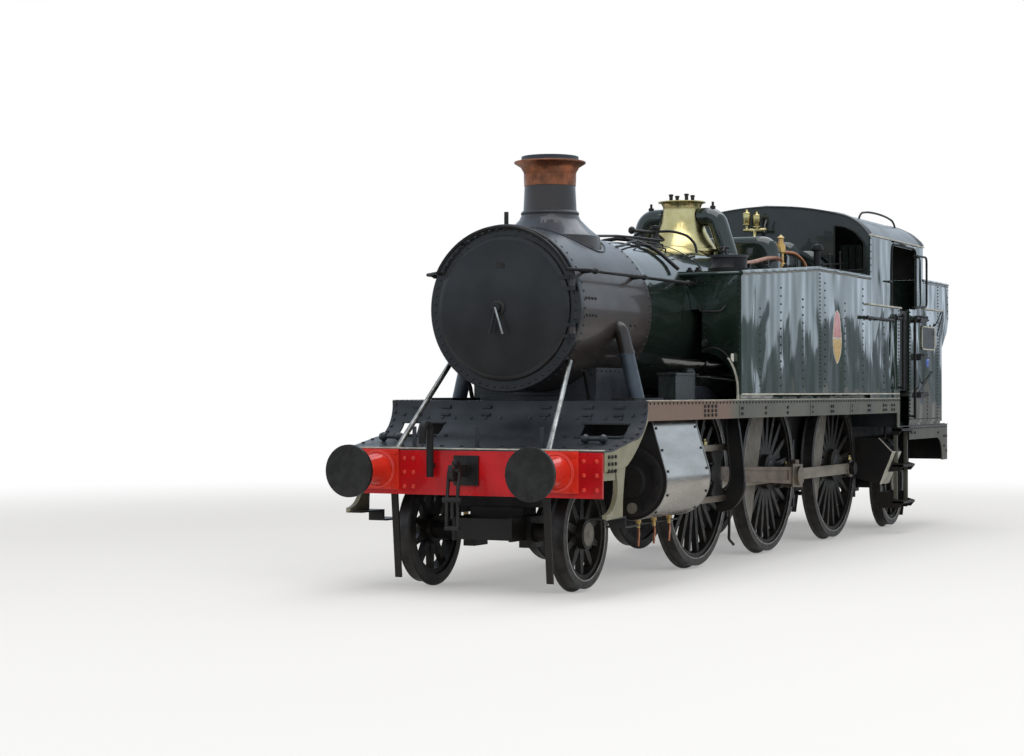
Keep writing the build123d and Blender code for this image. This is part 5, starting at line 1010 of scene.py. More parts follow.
# domed pillar, the rod from it to the cab, its two stands, and small studs
ROD_Y = 1.0
tank_black.turned((-0.98, ROD_Y, up(3.11)), UPWARD, [
    (0, 0), (0.06, 0), (0.06, 0.012), (0.04, 0.016), (0.04, 0.235), (0.068, 0.24), (0.072, 0.27),
    (0.056, 0.305), (0, 0.32)], CHASSIS_BLACK, both=True, steps=24)
tank_black.tube([
    (-1.15, ROD_Y, up(3.2)), (-1.7, ROD_Y, up(3.235)), (-2.07, ROD_Y, up(3.26))], 0.012, DARK_STEEL,
    both=True)
for x, top in ((-1.45, 3.33), (-1.85, 3.38)):
    tank_black.tube([(x, ROD_Y, up(3.10)), (x, ROD_Y, up(top))], 0.011, DARK_STEEL, both=True)
    tank_black.turned(
        (x, ROD_Y, up(top)), UPWARD, [(0, -0.016), (0.016, -0.006), (0.016, 0.008), (0, 0.018)],
        DARK_STEEL, both=True, steps=12)
for x, y in ((2.22, 0.70), (2.05, 0.72), (1.2, 1.16), (0.6, 1.16), (-0.6, 1.16)):
    tank_black.turned((x, y, tank_top(x) - 0.004), UPWARD, [
        (0, 0), (0.034, 0), (0.034, 0.018), (0.02, 0.022), (0.02, 0.04), (0, 0.046)], CHASSIS_BLACK,
        both=True, steps=16)
# collar at the filler's foot
tank_black.turned(
    (FILLER_X, FILLER_Y, up(2.95)), UPWARD,
    [(0.17, 0), (0.215, 0), (0.215, 0.03), (0.184, 0.034), (0.17, 0)], CHASSIS_BLACK, both=True, steps=48)
tank_black.done()

for side, name in ((1, "left"), (-1, "right")):
    clamp = Piece("filler_clamp_" + name, "lid_" + name, slot_of_node["filler_lid_" + name])
    x, y, z = FILLER_X + 0.13, side * FILLER_Y, up(3.111)
    for shift in (-0.022, 0.022):
        clamp.box((x - 0.02, y + shift - 0.007, z), (x + 0.02, y + shift + 0.007, z + 0.085), DARK_STEEL)
    clamp.tube([(x, y - 0.05, z + 0.07), (x, y + 0.05, z + 0.07)], 0.012, DARK_STEEL)
    clamp.tube([(x + 0.04, y, z + 0.03), (x, y, z + 0.075), (x - 0.1, y, z + 0.04)], 0.012, DARK_STEEL)
    clamp.turned(
        (FILLER_X, y, z - 0.004), UPWARD, [(0, 0), (0.15, 0), (0.14, 0.008), (0.05, 0.018), (0, 0.02)],
        PLATE_BLACK, steps=40)
    clamp.done()
print("tank top done")

# %% [markdown]
# ## Cab and bunker
# A rain strip edges the roof, beads frame the side openings, and ledges and black grab rails run below them.
# Thin panes fill the front and rear lights, and bars guard the rear ones. Columns of rivets follow the
# doorway and the bunker's corners, and one more rail runs across the bunker's back.

# %% Cab and bunker fittings
cab_trim = Piece("cab_trim", "engine", "body_green")
count = rivet_columns(cab_trim, [
    (-2.666, 1.76, 2.60, 0.079), (-3.31, 1.76, 2.74, 0.042), (-3.83, 1.40, 2.74, 0.045),
    (-4.13, 2.70, 3.0, 0.079), (-4.67, 1.40, 1.70, 0.05), (-5.19, 1.40, 3.12, 0.042)])
lines = [
    [(-4.47, 3.14), (-5.72, 3.14)], [(-3.83, 1.39), (-5.36, 1.39)], [(-5.70, 3.1), (-5.70, 2.72)],
    [(-2.12, 3.16), (-2.12, 3.56)]]
rows = [(side_line(line), OUTWARD) for line in lines]
rows.append((cross_line(CAB_FRONT_X + 0.001, [(0.88, 3.14), (1.26, 3.14)]), FORWARD))
count += heads(cab_trim, RIVET_TREE, rows, 0.079, 0.0095, CHASSIS_BLACK)
# bead round the bunker's top edge
top_edge = [(-4.45, HALF - 0.006, up(3.172)), (-5.74, HALF - 0.006, up(3.172)), (-5.74, 0.0, up(3.172))]
cab_trim.tube(top_edge, 0.02, BODY_GREEN, both=True, corner=0.02)
# bead round the side opening
opening = [(-2.99, 2.79), (-2.99, 3.55), (-4.10, 3.55), (-4.10, 2.80)]
cab_trim.tube(side_line(opening, 0.002), 0.014, CHASSIS_BLACK, both=True, corner=0.12)
# pale ledges and rain strip: rear x, front x, foot, top, inner and outer distance from the side plates
for x0, x1, foot, top, inner, outer in (
    (-3.36, -2.0, 2.765, 2.785, -0.012, 0.03),
    (-5.35, -4.45, 2.80, 2.818, -0.012, 0.026),
    (-4.45, -2.06, 3.588, 3.606, -0.01, 0.02),
):
    cab_trim.box((x0, HALF + inner, up(foot)), (x1, HALF + outer, up(top)), PALE_PAINT_AND_HIGHLIGHT, both=True)
# spectacle frames: y and height
spectacle = [
    (0.86, 3.18), (0.86, 3.722), (0.99, 3.70), (1.10, 3.645), (1.18, 3.56), (1.225, 3.5), (1.225, 3.18)]
cab_trim.tube(
    cross_line(CAB_FRONT_X + 0.006, spectacle + spectacle[:1]), 0.012, CHASSIS_BLACK, both=True,
    corner=0.03, sides=8)
cab_trim.done()
print("cab heads", count)

# %% Panes and rails
panes = Piece("cab_panes", "engine", "body_green")
panes.plate(spectacle, on_x(CAB_FRONT_X - 0.008), 0.004, PANE, both=True)
panes.box((CAB_REAR_X + 0.004, 0.19, up(3.27)), (CAB_REAR_X + 0.008, 0.65, up(3.66)), PANE, both=True)
panes.done()

rails = Piece("cab_rails", "engine", "rail_steel")
RAIL_OUT = 0.045
# start, end and height of a level grab rail on three knobs
for x0, x1, height in ((-1.80, -2.95, 2.612), (-3.06, -3.28, 2.64), (-3.95, -4.5, 2.67)):
    rails.tube(side_line([(x0, height), (x1, height)], RAIL_OUT), 0.015, CHASSIS_BLACK, both=True)
    for x in (x0 - 0.03, (x0 + x1) / 2, x1 + 0.03):
        rails.turned((x, HALF, up(height)), OUTWARD, [
            (0, 0), (0.022, 0), (0.012, 0.03), (0.022, 0.036), (0.022, 0.058), (0, 0.062)], CHASSIS_BLACK,
            both=True, steps=12)
# rail behind the doorway
behind_door = side_line([(-3.98, 3.46), (-4.46, 3.465), (-4.46, 2.83), (-3.93, 2.80)], RAIL_OUT)
rails.tube(
    [(-3.98, HALF, up(3.455)), *behind_door, (-3.93, HALF, up(2.80))], 0.014, CHASSIS_BLACK, both=True,
    corner=0.07)
# arched grab rail on the roof, seven points of an arc between its two feet
arch_rail = [(-2.62, 1.0, up(3.80))]
for turn in [math.radians(degrees) for degrees in (-88, -60, -30, 0, 30, 60, 88)]:
    height = 3.845 + 0.115 * math.cos(turn) ** 0.6
    arch_rail.append((-3.4 - 0.78 * math.sin(turn), 1.0, up(height)))
arch_rail.append((-4.18, 1.0, up(3.80)))
rails.tube(arch_rail, 0.013, CHASSIS_BLACK, both=True, corner=0.25)
# small handles above the side opening and ahead of it
rails.tube([
    (-2.78, HALF, up(3.075)), *side_line([(-2.78, 3.08), (-2.90, 3.08)], 0.03), (-2.90, HALF, up(3.075))],
    0.011, CHASSIS_BLACK, both=True, corner=0.02)
rails.tube([
    (-3.02, HALF + 0.01, up(3.585)), (-3.3, HALF + 0.03, up(3.57)), (-3.5, HALF + 0.03, up(3.56))], 0.01,
    CHASSIS_BLACK, both=True)
# stays of the brackets on the bunker
rails.tube(
    [(-5.42, HALF + 0.01, up(2.80)), (-4.97, HALF + 0.05, up(2.48))], 0.009, CHASSIS_BLACK, both=True)
rails.tube([(-4.15, HALF + 0.03, up(1.735)), (-4.9, HALF + 0.01, up(2.0))], 0.009, CHASSIS_BLACK, both=True)
# guard bars over the rear windows
GUARD_X = -4.462
for y in (0.21, 0.305, 0.4, 0.495, 0.59, 0.685):
    rails.tube(cross_line(GUARD_X, [(y, 3.24), (y, 3.70)]), 0.007, CHASSIS_BLACK, both=True, sides=8)
for height in (3.25, 3.69):
    rails.tube(cross_line(GUARD_X, [(0.18, height), (0.715, height)]), 0.011, CHASSIS_BLACK, both=True)
# rail across the bunker's back
rails.tube([
    (-5.752, -0.9, up(3.0)), (-5.80, -0.9, up(3.0)), (-5.80, 0.9, up(3.0)), (-5.752, 0.9, up(3.0))],
    0.014, CHASSIS_BLACK, corner=0.03)
rails.done()
print("cab rails done")

# %% [markdown]
# ## Steps and sandboxes
# The treads of the steps get their thickness and their end plates, and the straps a second leg. The rear
# sandboxes reach further back than the simple form, with a pale lower face and edge as painted highlight,
# and a round lid.

# %% Steps and sandboxes
treads = Piece("bunker_treads", "engine", slot_of_node["footsteps"])
# bunker treads, as a profile from the front edge of each
for height in (2.62, 2.14, 1.66):
    profile = [(0, 0), (-0.03, 0.065), (-0.42, 0.045), (-0.42, 0.03), (-0.2, 0)]
    treads.plate(
        [(-4.10 + dx, height + dh) for dx, dh in profile], on_y(HALF - 0.002), 0.066, CHASSIS_BLACK,
        both=True)
# cab treads, each with a plate at its ends: height, how far out
STEP_REAR_X, STEP_FRONT_X, STEP_INNER_Y = -3.842, -3.328, 1.20
for height, out in ((0.352, 1.352), (0.806, 1.352), (1.25, 1.33)):
    treads.box(
        (STEP_REAR_X, STEP_INNER_Y, up(height)), (STEP_FRONT_X, out, up(height + 0.03)), CHASSIS_BLACK,
        both=True, ease=0.003)
    end = [
        (STEP_INNER_Y, height - 0.05), (out - 0.05, height - 0.05), (out - 0.01, height),
        (out - 0.01, height + 0.03), (STEP_INNER_Y, height + 0.07)]
    for x in (STEP_REAR_X, STEP_FRONT_X - 0.01):
        treads.plate(end, on_x(x), 0.01, CHASSIS_BLACK, both=True)
# second leg of each strap's angle iron
for x in (-3.345, -3.801):
    treads.box((x - 0.004, 1.222, up(0.38)), (x + 0.016, 1.267, up(1.25)), VALANCE_OLIVE, both=True)
treads.done()

sand = Piece("sandbox_covers", "engine", slot_of_node["rear_sandboxes"])
SAND_X, SAND_LONG = -3.60, 0.272
LID, LID_WAY = (-3.42, 1.160, up(1.076)), Vector((0, 0.71, 0.70))
section = [(0.70, 1.160), (1.076, 1.160), (1.243, 0.992), (1.084, 0.596), (0.70, 0.70)]
sand.plate(section, on_x(SAND_X), SAND_LONG, CHASSIS_BLACK, both=True)
# pale lower face and its edge line: a painted highlight
lower_face = [(1.243, 0.993), (1.248, 0.991), (1.089, 0.594), (1.084, 0.596)]
sand.plate(lower_face, on_x(SAND_X), SAND_LONG, PALE_PAINT_AND_HIGHLIGHT, both=True)
sand.tube([
    (-3.17, 1.082, up(1.166)), (-3.17, 1.252, up(0.994)), (-3.33, 1.252, up(0.994))], 0.006, PALE_PAINT_AND_HIGHLIGHT,
    both=True)
sand.turned(
    LID, LID_WAY, [(0, 0), (0.088, 0), (0.088, 0.02), (0.074, 0.03), (0, 0.034)], PLATE_BLACK, both=True,
    steps=40)
sand.turned(LID, LID_WAY, [
    (0.074, 0.022), (0.09, 0.022), (0.09, 0.034), (0.074, 0.034), (0.074, 0.022)], DARK_STEEL, both=True,
    steps=40)
sand.done()
print("steps and sandboxes done")

# %% [markdown]
# ## Number plate and roof
# The number plate is blank inside its raised border, with a blue disc below it. A strip and a row of rivets
# cross each end of the roof, and a low plate covers its middle.

# %% Number plate and roof
plate = Piece("number_plate", "engine", "brass")
PLATE_X, PLATE_HEIGHT, LONG, HIGH, CUT = -4.67, 2.43, 0.31, 0.145, 0.03
# half of the outline, whose corners are cut, and the other half turned about the middle
half = [(CUT - LONG, -HIGH), (LONG - CUT, -HIGH), (LONG, CUT - HIGH), (LONG, HIGH - CUT)]
half += [(-dx, -dh) for dx, dh in half]
outline = [(PLATE_X + dx, PLATE_HEIGHT + dh) for dx, dh in half]
plate.plate(outline, on_y(HALF - 0.002), 0.014, PLATE_FACE, both=True)
plate.tube(side_line(outline + outline[:1], 0.012), 0.010, PALE_PAINT_AND_HIGHLIGHT, both=True, corner=0.02, sides=8)
plate.turned(
    (PLATE_X, HALF - 0.002, up(2.125)), OUTWARD,
    [(0, 0), (0.07, 0), (0.07, 0.003), (0.066, 0.004), (0, 0.004)], DISC_BLUE, both=True, steps=40)
plate.done()

roof = Piece("roof_trim", "engine", "roof_black")
arc = [(0, 3.982), (0.43, 3.95), (0.965, 3.854), (1.16, 3.756), (1.27, 3.655), (1.30, 3.61)]
for x in (-2.09, -4.42):
    roof.tube(cross_line(x, arc), 0.009, ROOF_GREY, both=True, corner=0.2, flat=0.02)
roof.box((-3.75, -0.32, up(3.975)), (-2.75, 0.32, up(3.984)), ROOF_GREY, ease=0.003)
line = [(0.35 + 0.6 * share, 3.962 - 0.098 * share ** 1.4) for share in (0, 0.5, 1)]
rows = [(cross_line(x, line), UPWARD) for x in (-2.16, -4.36)]
count = heads(roof, RIVET_TREE, rows, 0.09, 0.009, ROOF_GREY)
roof.done()
print("roof heads", count)

# %% [markdown]
# ## Inside the cab
# The backhead shows its firehole, gauges, regulator and brake handles, without lettering. A wooden seat
# stands on each side, and a dark plate, painted shade, lines the back.

# %% Cab inside
inside = Piece("cab_inside", "engine", "floor_wood")
BACK_X = -2.452
inside.box((BACK_X - 0.03, -0.78, up(1.75)), (BACK_X, 0.78, up(3.2)), CHASSIS_BLACK, ease=0.02)
# firehole door and its shelf
inside.turned(
    (BACK_X - 0.03, 0, up(2.12)), REARWARD, [(0, 0), (0.24, 0), (0.24, 0.03), (0.2, 0.05), (0, 0.05)],
    DARK_STEEL)
inside.box((BACK_X - 0.13, -0.3, up(1.86)), (BACK_X - 0.03, 0.3, up(1.9)), DARK_STEEL)
# regulator
inside.tube([
    (BACK_X - 0.08, 0.0, up(2.92)), (BACK_X - 0.12, 0.0, up(2.92)), (BACK_X - 0.12, 0.42, up(2.78))],
    0.016, BRIGHT_STEEL)
inside.turned((BACK_X - 0.02, 0, up(2.92)), REARWARD, [(0, 0), (0.09, 0), (0.07, 0.06), (0, 0.08)], BRASS)
# gauges with blank dials
for y, height, radius in ((0.28, 3.30, 0.09), (-0.05, 3.34, 0.11), (-0.36, 3.28, 0.08)):
    inside.turned((BACK_X + 0.02, y, up(height)), REARWARD, [
        (0, 0), (radius, 0), (radius, 0.06), (radius - 0.015, 0.066), (radius - 0.015, 0.055),
        (0, 0.055)], BRASS)
    inside.turned((BACK_X + 0.0205, y, up(height)), REARWARD, [
        (0, 0.05), (radius - 0.016, 0.05), (radius - 0.016, 0.058), (0, 0.058)], DIAL_WHITE)
# water gauges
for y in (-0.2, 0.2):
    inside.tube([(BACK_X - 0.09, y, up(2.45)), (BACK_X - 0.09, y, up(2.78))], 0.014, BRASS)
    for height in (2.45, 2.78):
        inside.tube([(BACK_X, y, up(height)), (BACK_X - 0.1, y, up(height))], 0.02, BRASS)
# reversing lever and brake handle
inside.tube([(-2.6, 0.62, up(1.72)), (-2.6, 0.62, up(2.75)), (-2.66, 0.62, up(2.95))], 0.018, BRIGHT_STEEL)
inside.tube([
    (BACK_X - 0.1, -0.62, up(3.0)), (-2.62, -0.62, up(3.02)), (-2.68, -0.5, up(3.02))], 0.014, BRASS)
# injector valves with their pipes
for y in (-0.45, 0.5):
    inside.turned(
        (BACK_X - 0.03, y, up(2.62)), REARWARD, [(0, 0), (0.05, 0), (0.03, 0.05), (0, 0.05)], BRASS,
        steps=16)
    inside.tube([
        (BACK_X - 0.05, y, up(2.62)), (BACK_X - 0.05, y, up(2.2)), (BACK_X - 0.03, y * 1.3, up(1.85))],
        0.014, PIPE_COPPER)
# seats, and the lining of the back in painted shade
inside.box((-3.28, 0.84, up(2.19)), (-2.56, 1.26, up(2.23)), FLOOR_WOOD, both=True, ease=0.008)
inside.box((-4.44, -0.92, up(1.76)), (-4.425, 0.92, up(3.15)), CAB_INSIDE_SHADE)
inside.done()
print("cab inside done")

# %% [markdown]
# ## Coal
# The bunker is full of coal. The CAD form gives the heap as a smooth dome across the bunker, and here it gets
# its lumps: a fine grid laid on the dome, whose points are lifted by the cells of a noise, so each cell is
# one lump.

# %% Coal lumps
coal = Piece("coal_lumps", "engine", slot_of_node["coal"])
coal_low, coal_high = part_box("coal")
HEAP_TOP, HEAP_R = coal_high.z, 5.32
# highest lump, how far the lumps keep from the heap's edge, cells of the noise to a metre, steps of the grid
LUMP, INSET, LUMPS_A_METRE, GRAINS_A_METRE = 0.06, 0.006, 11, 31
STEPS_X, STEPS_Y = 100, 190
part = bmesh.new()
grid = []
for i in range(STEPS_X + 1):
    for j in range(STEPS_Y + 1):
        u, w = i / STEPS_X, j / STEPS_Y
        x = coal_high.x - INSET - (coal_high.x - coal_low.x - 2 * INSET) * u
        y = (coal_low.y + INSET) * (1 - 2 * w)
        edge = min(1.0, 14 * min(u, 1 - u, w, 1 - w))
        near, far = noise.voronoi((x * LUMPS_A_METRE, y * LUMPS_A_METRE, 0.3))[0][:2]
        grain = noise.noise((x * GRAINS_A_METRE, y * GRAINS_A_METRE, 1.0))
        lump = LUMP * (min(1.0, 1.9 * (far - near)) * 0.7 + 0.3 * (1 - near)) + 0.008 * grain
        dome = HEAP_TOP - (HEAP_R - math.sqrt(HEAP_R ** 2 - y * y))
        grid.append(part.verts.new((x, y, dome + 0.002 + max(0.0, lump) * edge)))
ROW = STEPS_Y + 1
for i in range(STEPS_X):
    for j in range(STEPS_Y):
        k = i * ROW + j
        part.faces.new([grid[k], grid[k + 1], grid[k + ROW + 1], grid[k + ROW]])
skirt = bmesh.ops.extrude_edge_only(part, edges=[e for e in part.edges if e.is_boundary])
for vert in (v for v in skirt["geom"] if isinstance(v, bmesh.types.BMVert)):
    vert.co.z -= 0.03
bmesh.ops.holes_fill(part, edges=[e for e in part.edges if e.is_boundary], sides=0)
bmesh.ops.recalc_face_normals(part, faces=part.faces)
coal.take(part, COAL_BLACK)
coal.done()
print("coal from", round(coal_low.z, 3), "to", round(HEAP_TOP, 3))

# %% [markdown]
# ## Platform
# A row of rivets runs under the platform's edge along the whole valance, with bolts at the brackets and
# splices. A pale line, a painted highlight, and an olive strip edge the platform, an angle runs below the
# rear platform, and another round the bunker's foot.

# %% Platform fittings
platform_trim = Piece("platform_trim", "engine", "platform_green")
BUNKER_X0, BUNKER_X1 = -5.386, -3.86
# pale line along the platform's edge: a painted highlight
platform_trim.box(
    (-3.36, HALF - 0.02, up(1.655)), (4.73, HALF + 0.004, up(1.662)), PALE_PAINT_AND_HIGHLIGHT, both=True, ease=0.001)
platform_trim.box(
    (-3.36, HALF - 0.02, up(1.643)), (4.73, HALF + 0.008, up(1.655)), VALANCE_OLIVE, both=True,
    ease=0.001)
# leg at the valance's rear end
leg = [
    (-3.36, 1.56), (-3.14, 1.56), (-3.21, 1.535), (-3.25, 1.49), (-3.262, 1.42), (-3.262, 1.30),
    (-3.36, 1.30)]
platform_trim.plate(leg, on_y(HALF - 0.012), 0.010, VALANCE_OLIVE, both=True)
# angle under the rear platform, and the foot angles of the bunker's sides and back
platform_trim.box((-6.0, 0.612, up(1.17)), (-2.3, 0.628, up(1.298)), CHASSIS_BLACK, both=True)
platform_trim.box(
    (BUNKER_X0, HALF - 0.034, up(1.312)), (BUNKER_X1, HALF - 0.022, up(1.352)), BODY_GREEN, both=True)
platform_trim.box(
    (BUNKER_X0, -HALF + 0.03, up(1.312)), (BUNKER_X0 + 0.012, HALF - 0.03, up(1.352)), BODY_GREEN)
# rivets on the face of the valances, and on the platform along their edge
face_lines = [(4.68, 1.632), (-3.33, 1.632)], [(-3.84, 1.275), (-5.62, 1.275)]
edge_lines = [(4.70, 1.654), (-3.33, 1.654)], [(-3.84, 1.311), (-5.62, 1.311)]
rows = [(side_line(line), OUTWARD) for line in face_lines]
rows += [(side_line(line, -0.03), UPWARD) for line in edge_lines]
count = heads(platform_trim, RIVET_TREE, rows, 0.092, 0.013, CHASSIS_BLACK)
# bolts of the brackets: middle x, how far from it each column stands, how many in a column
bolts = []
for x, across, high in (
    (3.2, (-0.15, -0.05, 0.05, 0.14), 3), (2.33, (-0.02, 0.02), 2), (1.62, (0.0,), 2), (0.95, (-0.02,), 2),
    (0.10, (0.0,), 2), (-0.62, (-0.02, 0.05), 2), (-1.35, (0.0,), 2), (-2.05, (-0.02, 0.05), 2),
    (-2.70, (-0.06, 0.0, 0.06), 2), (-3.05, (-0.05, 0.05), 2),
):
    top, step = (1.6, 0.042) if high == 3 else (1.575, 0.055)
    bolts += [(x + shift, top - step * k) for shift in across for k in range(high)]
bolts += [(5.45 + 0.07 * m, 1.185 - 0.06 * k) for k in range(3) for m in range(3)]
bolts += [
    (-3.9, 1.22), (-4.05, 1.22), (-5.2, 1.20), (-5.5, 1.15), (-5.5, 1.02), (-5.62, 1.15), (-5.62, 0.95)]
count += loose_heads(platform_trim, BOLT_TREE, side_line(bolts), OUTWARD, 0.0175, CHASSIS_BLACK)
# splice plates behind the pairs of bolts
for x in (2.33, 0.10, -1.35, -2.70):
    platform_trim.box(
        (x - 0.07, HALF - 0.004, up(1.49)), (x + 0.07, HALF + 0.005, up(1.61)), VALANCE_OLIVE, both=True)
platform_trim.done()
print("platform heads", count)

# %% [markdown]
# ## Front plate
# The falling front plate has rows of bolts, hinge covers, bars at its slot, a handle with a ball at each end,
# and lamp irons. A pale strip runs along the top of the red beam below it.

# %% Front plate
front_trim = Piece("front_plate_trim", "engine", "platform_green")
# x and height along the plate, from its top to the beam
drop = [
    (PLATFORM_FRONT_X, 1.655), (PLATFORM_FRONT_X, 1.587), (4.768, 1.49), (4.815, 1.423), (4.90, 1.36),
    (5.04, 1.322), (5.28, 1.279), (5.52, 1.237)]


def on_drop(height, proud=0.0):
    """A point on the falling front plate at a height, and the direction square to it."""
    for (x0, h0), (x1, h1) in zip(drop, drop[1:]):
        if h1 <= height <= h0:
            along = (h0 - height) / (h0 - h1)
            way = Vector((h0 - h1, 0, x1 - x0)).normalized()
            return Vector((x0 + (x1 - x0) * along, 0, up(height))) + way * proud, way
    raise ValueError("no such height on the front plate")


def small_box(spot, y, behind, ahead, half_wide, half_high):
    """A small block on the front plate, at a point of it and some way out from the middle."""
    front_trim.box(
        (spot.x - behind, y - half_wide, spot.z - half_high),
        (spot.x + ahead, y + half_wide, spot.z + half_high), PLATE_BLACK, both=True)


# y and height of each head on the front plate
spots = [(1.262, height) for height in (1.62, 1.55, 1.48, 1.42, 1.37, 1.33, 1.30, 1.27, 1.245)]
spots += [
    (1.16, 1.53), (1.05, 1.50), (0.9, 1.50), (0.75, 1.50), (0.62, 1.50), (1.15, 1.34), (0.6, 1.34),
    (0.45, 1.50), (0.3, 1.50), (0.15, 1.50), (1.0, 1.26), (0.8, 1.255), (0.6, 1.255), (0.4, 1.255),
    (0.2, 1.255)]
bolts = []
for y, height in spots:
    spot, way = on_drop(height)
    bolts.append(([(spot.x, y, spot.z)], way))
count = heads(front_trim, BOLT_TREE, bolts, 0, 0.016, PLATE_BLACK)
# hinge covers
for y in (1.02, 0.72, 0.3):
    small_box(on_drop(1.60)[0], y, 0.01, 0.02, 0.05, 0.014)
    small_box(on_drop(1.53)[0], y, 0.01, 0.016, 0.045, 0.012)
# bars above and below the slot
for low, high in ((1.445, 1.462), (1.33, 1.345)):
    small_box(on_drop((low + high) / 2)[0], 0.925, 0.012, 0.02, 0.225, (high - low) / 2)
# double-ball handle
spot = on_drop(1.285, 0.045)[0]
front_trim.tube([(spot.x, 0.92, spot.z), (spot.x, 1.10, spot.z)], 0.018, PLATE_BLACK, both=True)
for y in (0.925, 1.095):
    front_trim.turned((spot.x, y, spot.z), OUTWARD, [
        (0, -0.042), (0.03, -0.03), (0.042, 0), (0.03, 0.03), (0, 0.042)], PLATE_BLACK, both=True,
        steps=20)
    front_trim.tube([(spot.x, y, spot.z), (spot.x - 0.02, y, spot.z - 0.07)], 0.018, PLATE_BLACK, both=True)
# lamp irons, and the pale strip along the top of the beam
for y in (0.63, -0.63, 0.0):
    front_trim.box((5.50, y - 0.02, up(1.237)), (5.51, y + 0.02, up(1.43)), PLATE_BLACK)
    front_trim.box((5.47, y - 0.032, up(1.237)), (5.56, y + 0.032, up(1.248)), PLATE_BLACK)
front_trim.box((5.64, -HALF + 0.01, up(1.236)), (5.708, HALF - 0.01, up(1.246)), PALE_PAINT_AND_HIGHLIGHT)
front_trim.done()
print("front plate heads", count)

# %% [markdown]
# ## Beams and couplings
# Both beams have columns of big round heads, and a base with four bolts behind each buffer. A screw coupling
# hangs from each hook, and lamp irons stand on the bunker's back.

# %% Beams and couplings
BUFFER_Y, BUFFER_HEIGHT, BASE_PROUD, HOOK_OUT = 0.87, 1.054, 0.026, 0.235


def beam_heads(piece, x, columns, radius, material):
    """Three rows of big heads on a beam's face, and the four bolts of each buffer's base."""
    way = FORWARD if x > 0 else REARWARD
    spots = cross_line(x, [(y, height) for y in columns for height in (1.15, 1.03, 0.905)])
    corners = [(BUFFER_Y + dy, BUFFER_HEIGHT + dz) for dy in (-0.165, 0.165) for dz in (-0.145, 0.145)]
    base = cross_line(x + way.x * BASE_PROUD, corners)
    total = loose_heads(piece, STUD_TREE, spots, way, radius, material)
    return total + loose_heads(piece, BOLT_TREE, base, way, 0.02, material)


beam_trim = Piece("beam_trim", "engine", "beam_red")
count = beam_heads(beam_trim, BEAM_X, (1.235, 1.115, 0.62, 0.53), 0.022, HOUSING_RED)
beam_trim.turned(
    (BEAM_X + BASE_PROUD, BUFFER_Y, up(BUFFER_HEIGHT)), FORWARD,
    [(0.14, 0), (0.172, 0), (0.172, 0.014), (0.15, 0.024), (0.14, 0)], HOUSING_RED, both=True, steps=48)
beam_trim.done()

rear_trim = Piece("rear_beam_trim", "engine", "frame_black")
count += beam_heads(rear_trim, -BEAM_X, (1.235, 1.115, 0.62, 0.53, 0.3), 0.02, CHASSIS_BLACK)
# screw couplings that hang from the hooks: two links above, two below, and four pins and bars between them
for way in (1, -1):
    x, z = way * (BEAM_X + HOOK_OUT), up(1.03)
    low_x = x + way * 0.03
    for y in (-0.05, 0.05):
        rear_trim.tube([(x, y, z + 0.02), (low_x, y, z - 0.2)], 0.016, DARK_STEEL)
        rear_trim.tube([(low_x, y, z - 0.24), (low_x, y * 1.1, z - 0.46)], 0.016, DARK_STEEL)
    rear_trim.tube([(x, -0.05, z + 0.02), (x, 0.05, z + 0.02)], 0.016, DARK_STEEL)
    rear_trim.tube([(low_x, -0.09, z - 0.22), (low_x, 0.09, z - 0.22)], 0.026, DARK_STEEL)
    rear_trim.tube([(low_x, 0.0, z - 0.22), (low_x, 0.0, z - 0.38)], 0.018, DARK_STEEL)
    rear_trim.tube([(low_x, -0.07, z - 0.46), (low_x, 0.07, z - 0.46)], 0.02, DARK_STEEL)
# lamp irons on the bunker's back
for y in (-0.7, 0.0, 0.7):
    rear_trim.box((-5.77, y - 0.02, up(2.9)), (-5.76, y + 0.02, up(3.05)), DARK_STEEL)
rear_trim.done()
print("beam heads", count)

# %% [markdown]
# ## Cylinders and motion
# The cylinder cladding is held by bolts near its two edges. The front cover has a rim, a ring of nuts and a
# round boss, drain cocks of brass with copper pipes hang below, and the slide bars have oil cups. The curved
# bracket has a thin outer edge and a raised inner flange.

# %% Cylinder and motion fittings
motion = Piece("motion_trim", "engine", "cylinder_steel")
CYLINDER_Z, CYLINDER_R, MOTION_Y = up(0.927), 0.352, 0.985
COVER_X, BOTTOM_Z = 4.42, CYLINDER_Z - CYLINDER_R
# the sloping side of the cladding, from the platform down to where it turns round the cylinder
top_y, top_z = HALF - 0.16, PLATFORM_Z - 0.012
lean_y, lean_z = MOTION_Y + CYLINDER_R * 0.985, CYLINDER_Z + CYLINDER_R * 0.17
slant = Vector((0, top_z - lean_z, lean_y - top_y)).normalized()


def round_cylinder(x, radius, degrees):
    """A point about the cylinder's middle line, in degrees from the level outwards."""
    turn = math.radians(degrees)
    return (x, MOTION_Y + radius * math.cos(turn), CYLINDER_Z + radius * math.sin(turn))


def from_cylinder(spot):
    """The direction that stands square to the cylinder."""
    return Vector((0, spot[1] - MOTION_Y, spot[2] - CYLINDER_Z)).normalized()


count = 0
for x in (4.33, 3.37):
    shares = (0.08, 0.36, 0.66, 0.95)
    flat = [(x, top_y + (lean_y - top_y) * share, top_z + (lean_z - top_z) * share) for share in shares]
    count += loose_heads(motion, BOLT_TREE, flat, slant, 0.0135, CHASSIS_BLACK)
    curved = [round_cylinder(x, CYLINDER_R, degrees) for degrees in (-20, -52)]
    count += loose_heads(motion, BOLT_TREE, curved, from_cylinder, 0.0135, CHASSIS_BLACK)
# thin rolled edges of the cladding
for x in (4.385, 3.315):
    line = [(x, top_y + 0.002, top_z - 0.01), (x, lean_y + 0.004, lean_z)]
    line += [round_cylinder(x, CYLINDER_R + 0.002, degrees) for degrees in (-10, -30, -50, -70, -88)]
    motion.tube(line, 0.006, BRIGHT_STEEL, both=True, corner=0.06, sides=6)
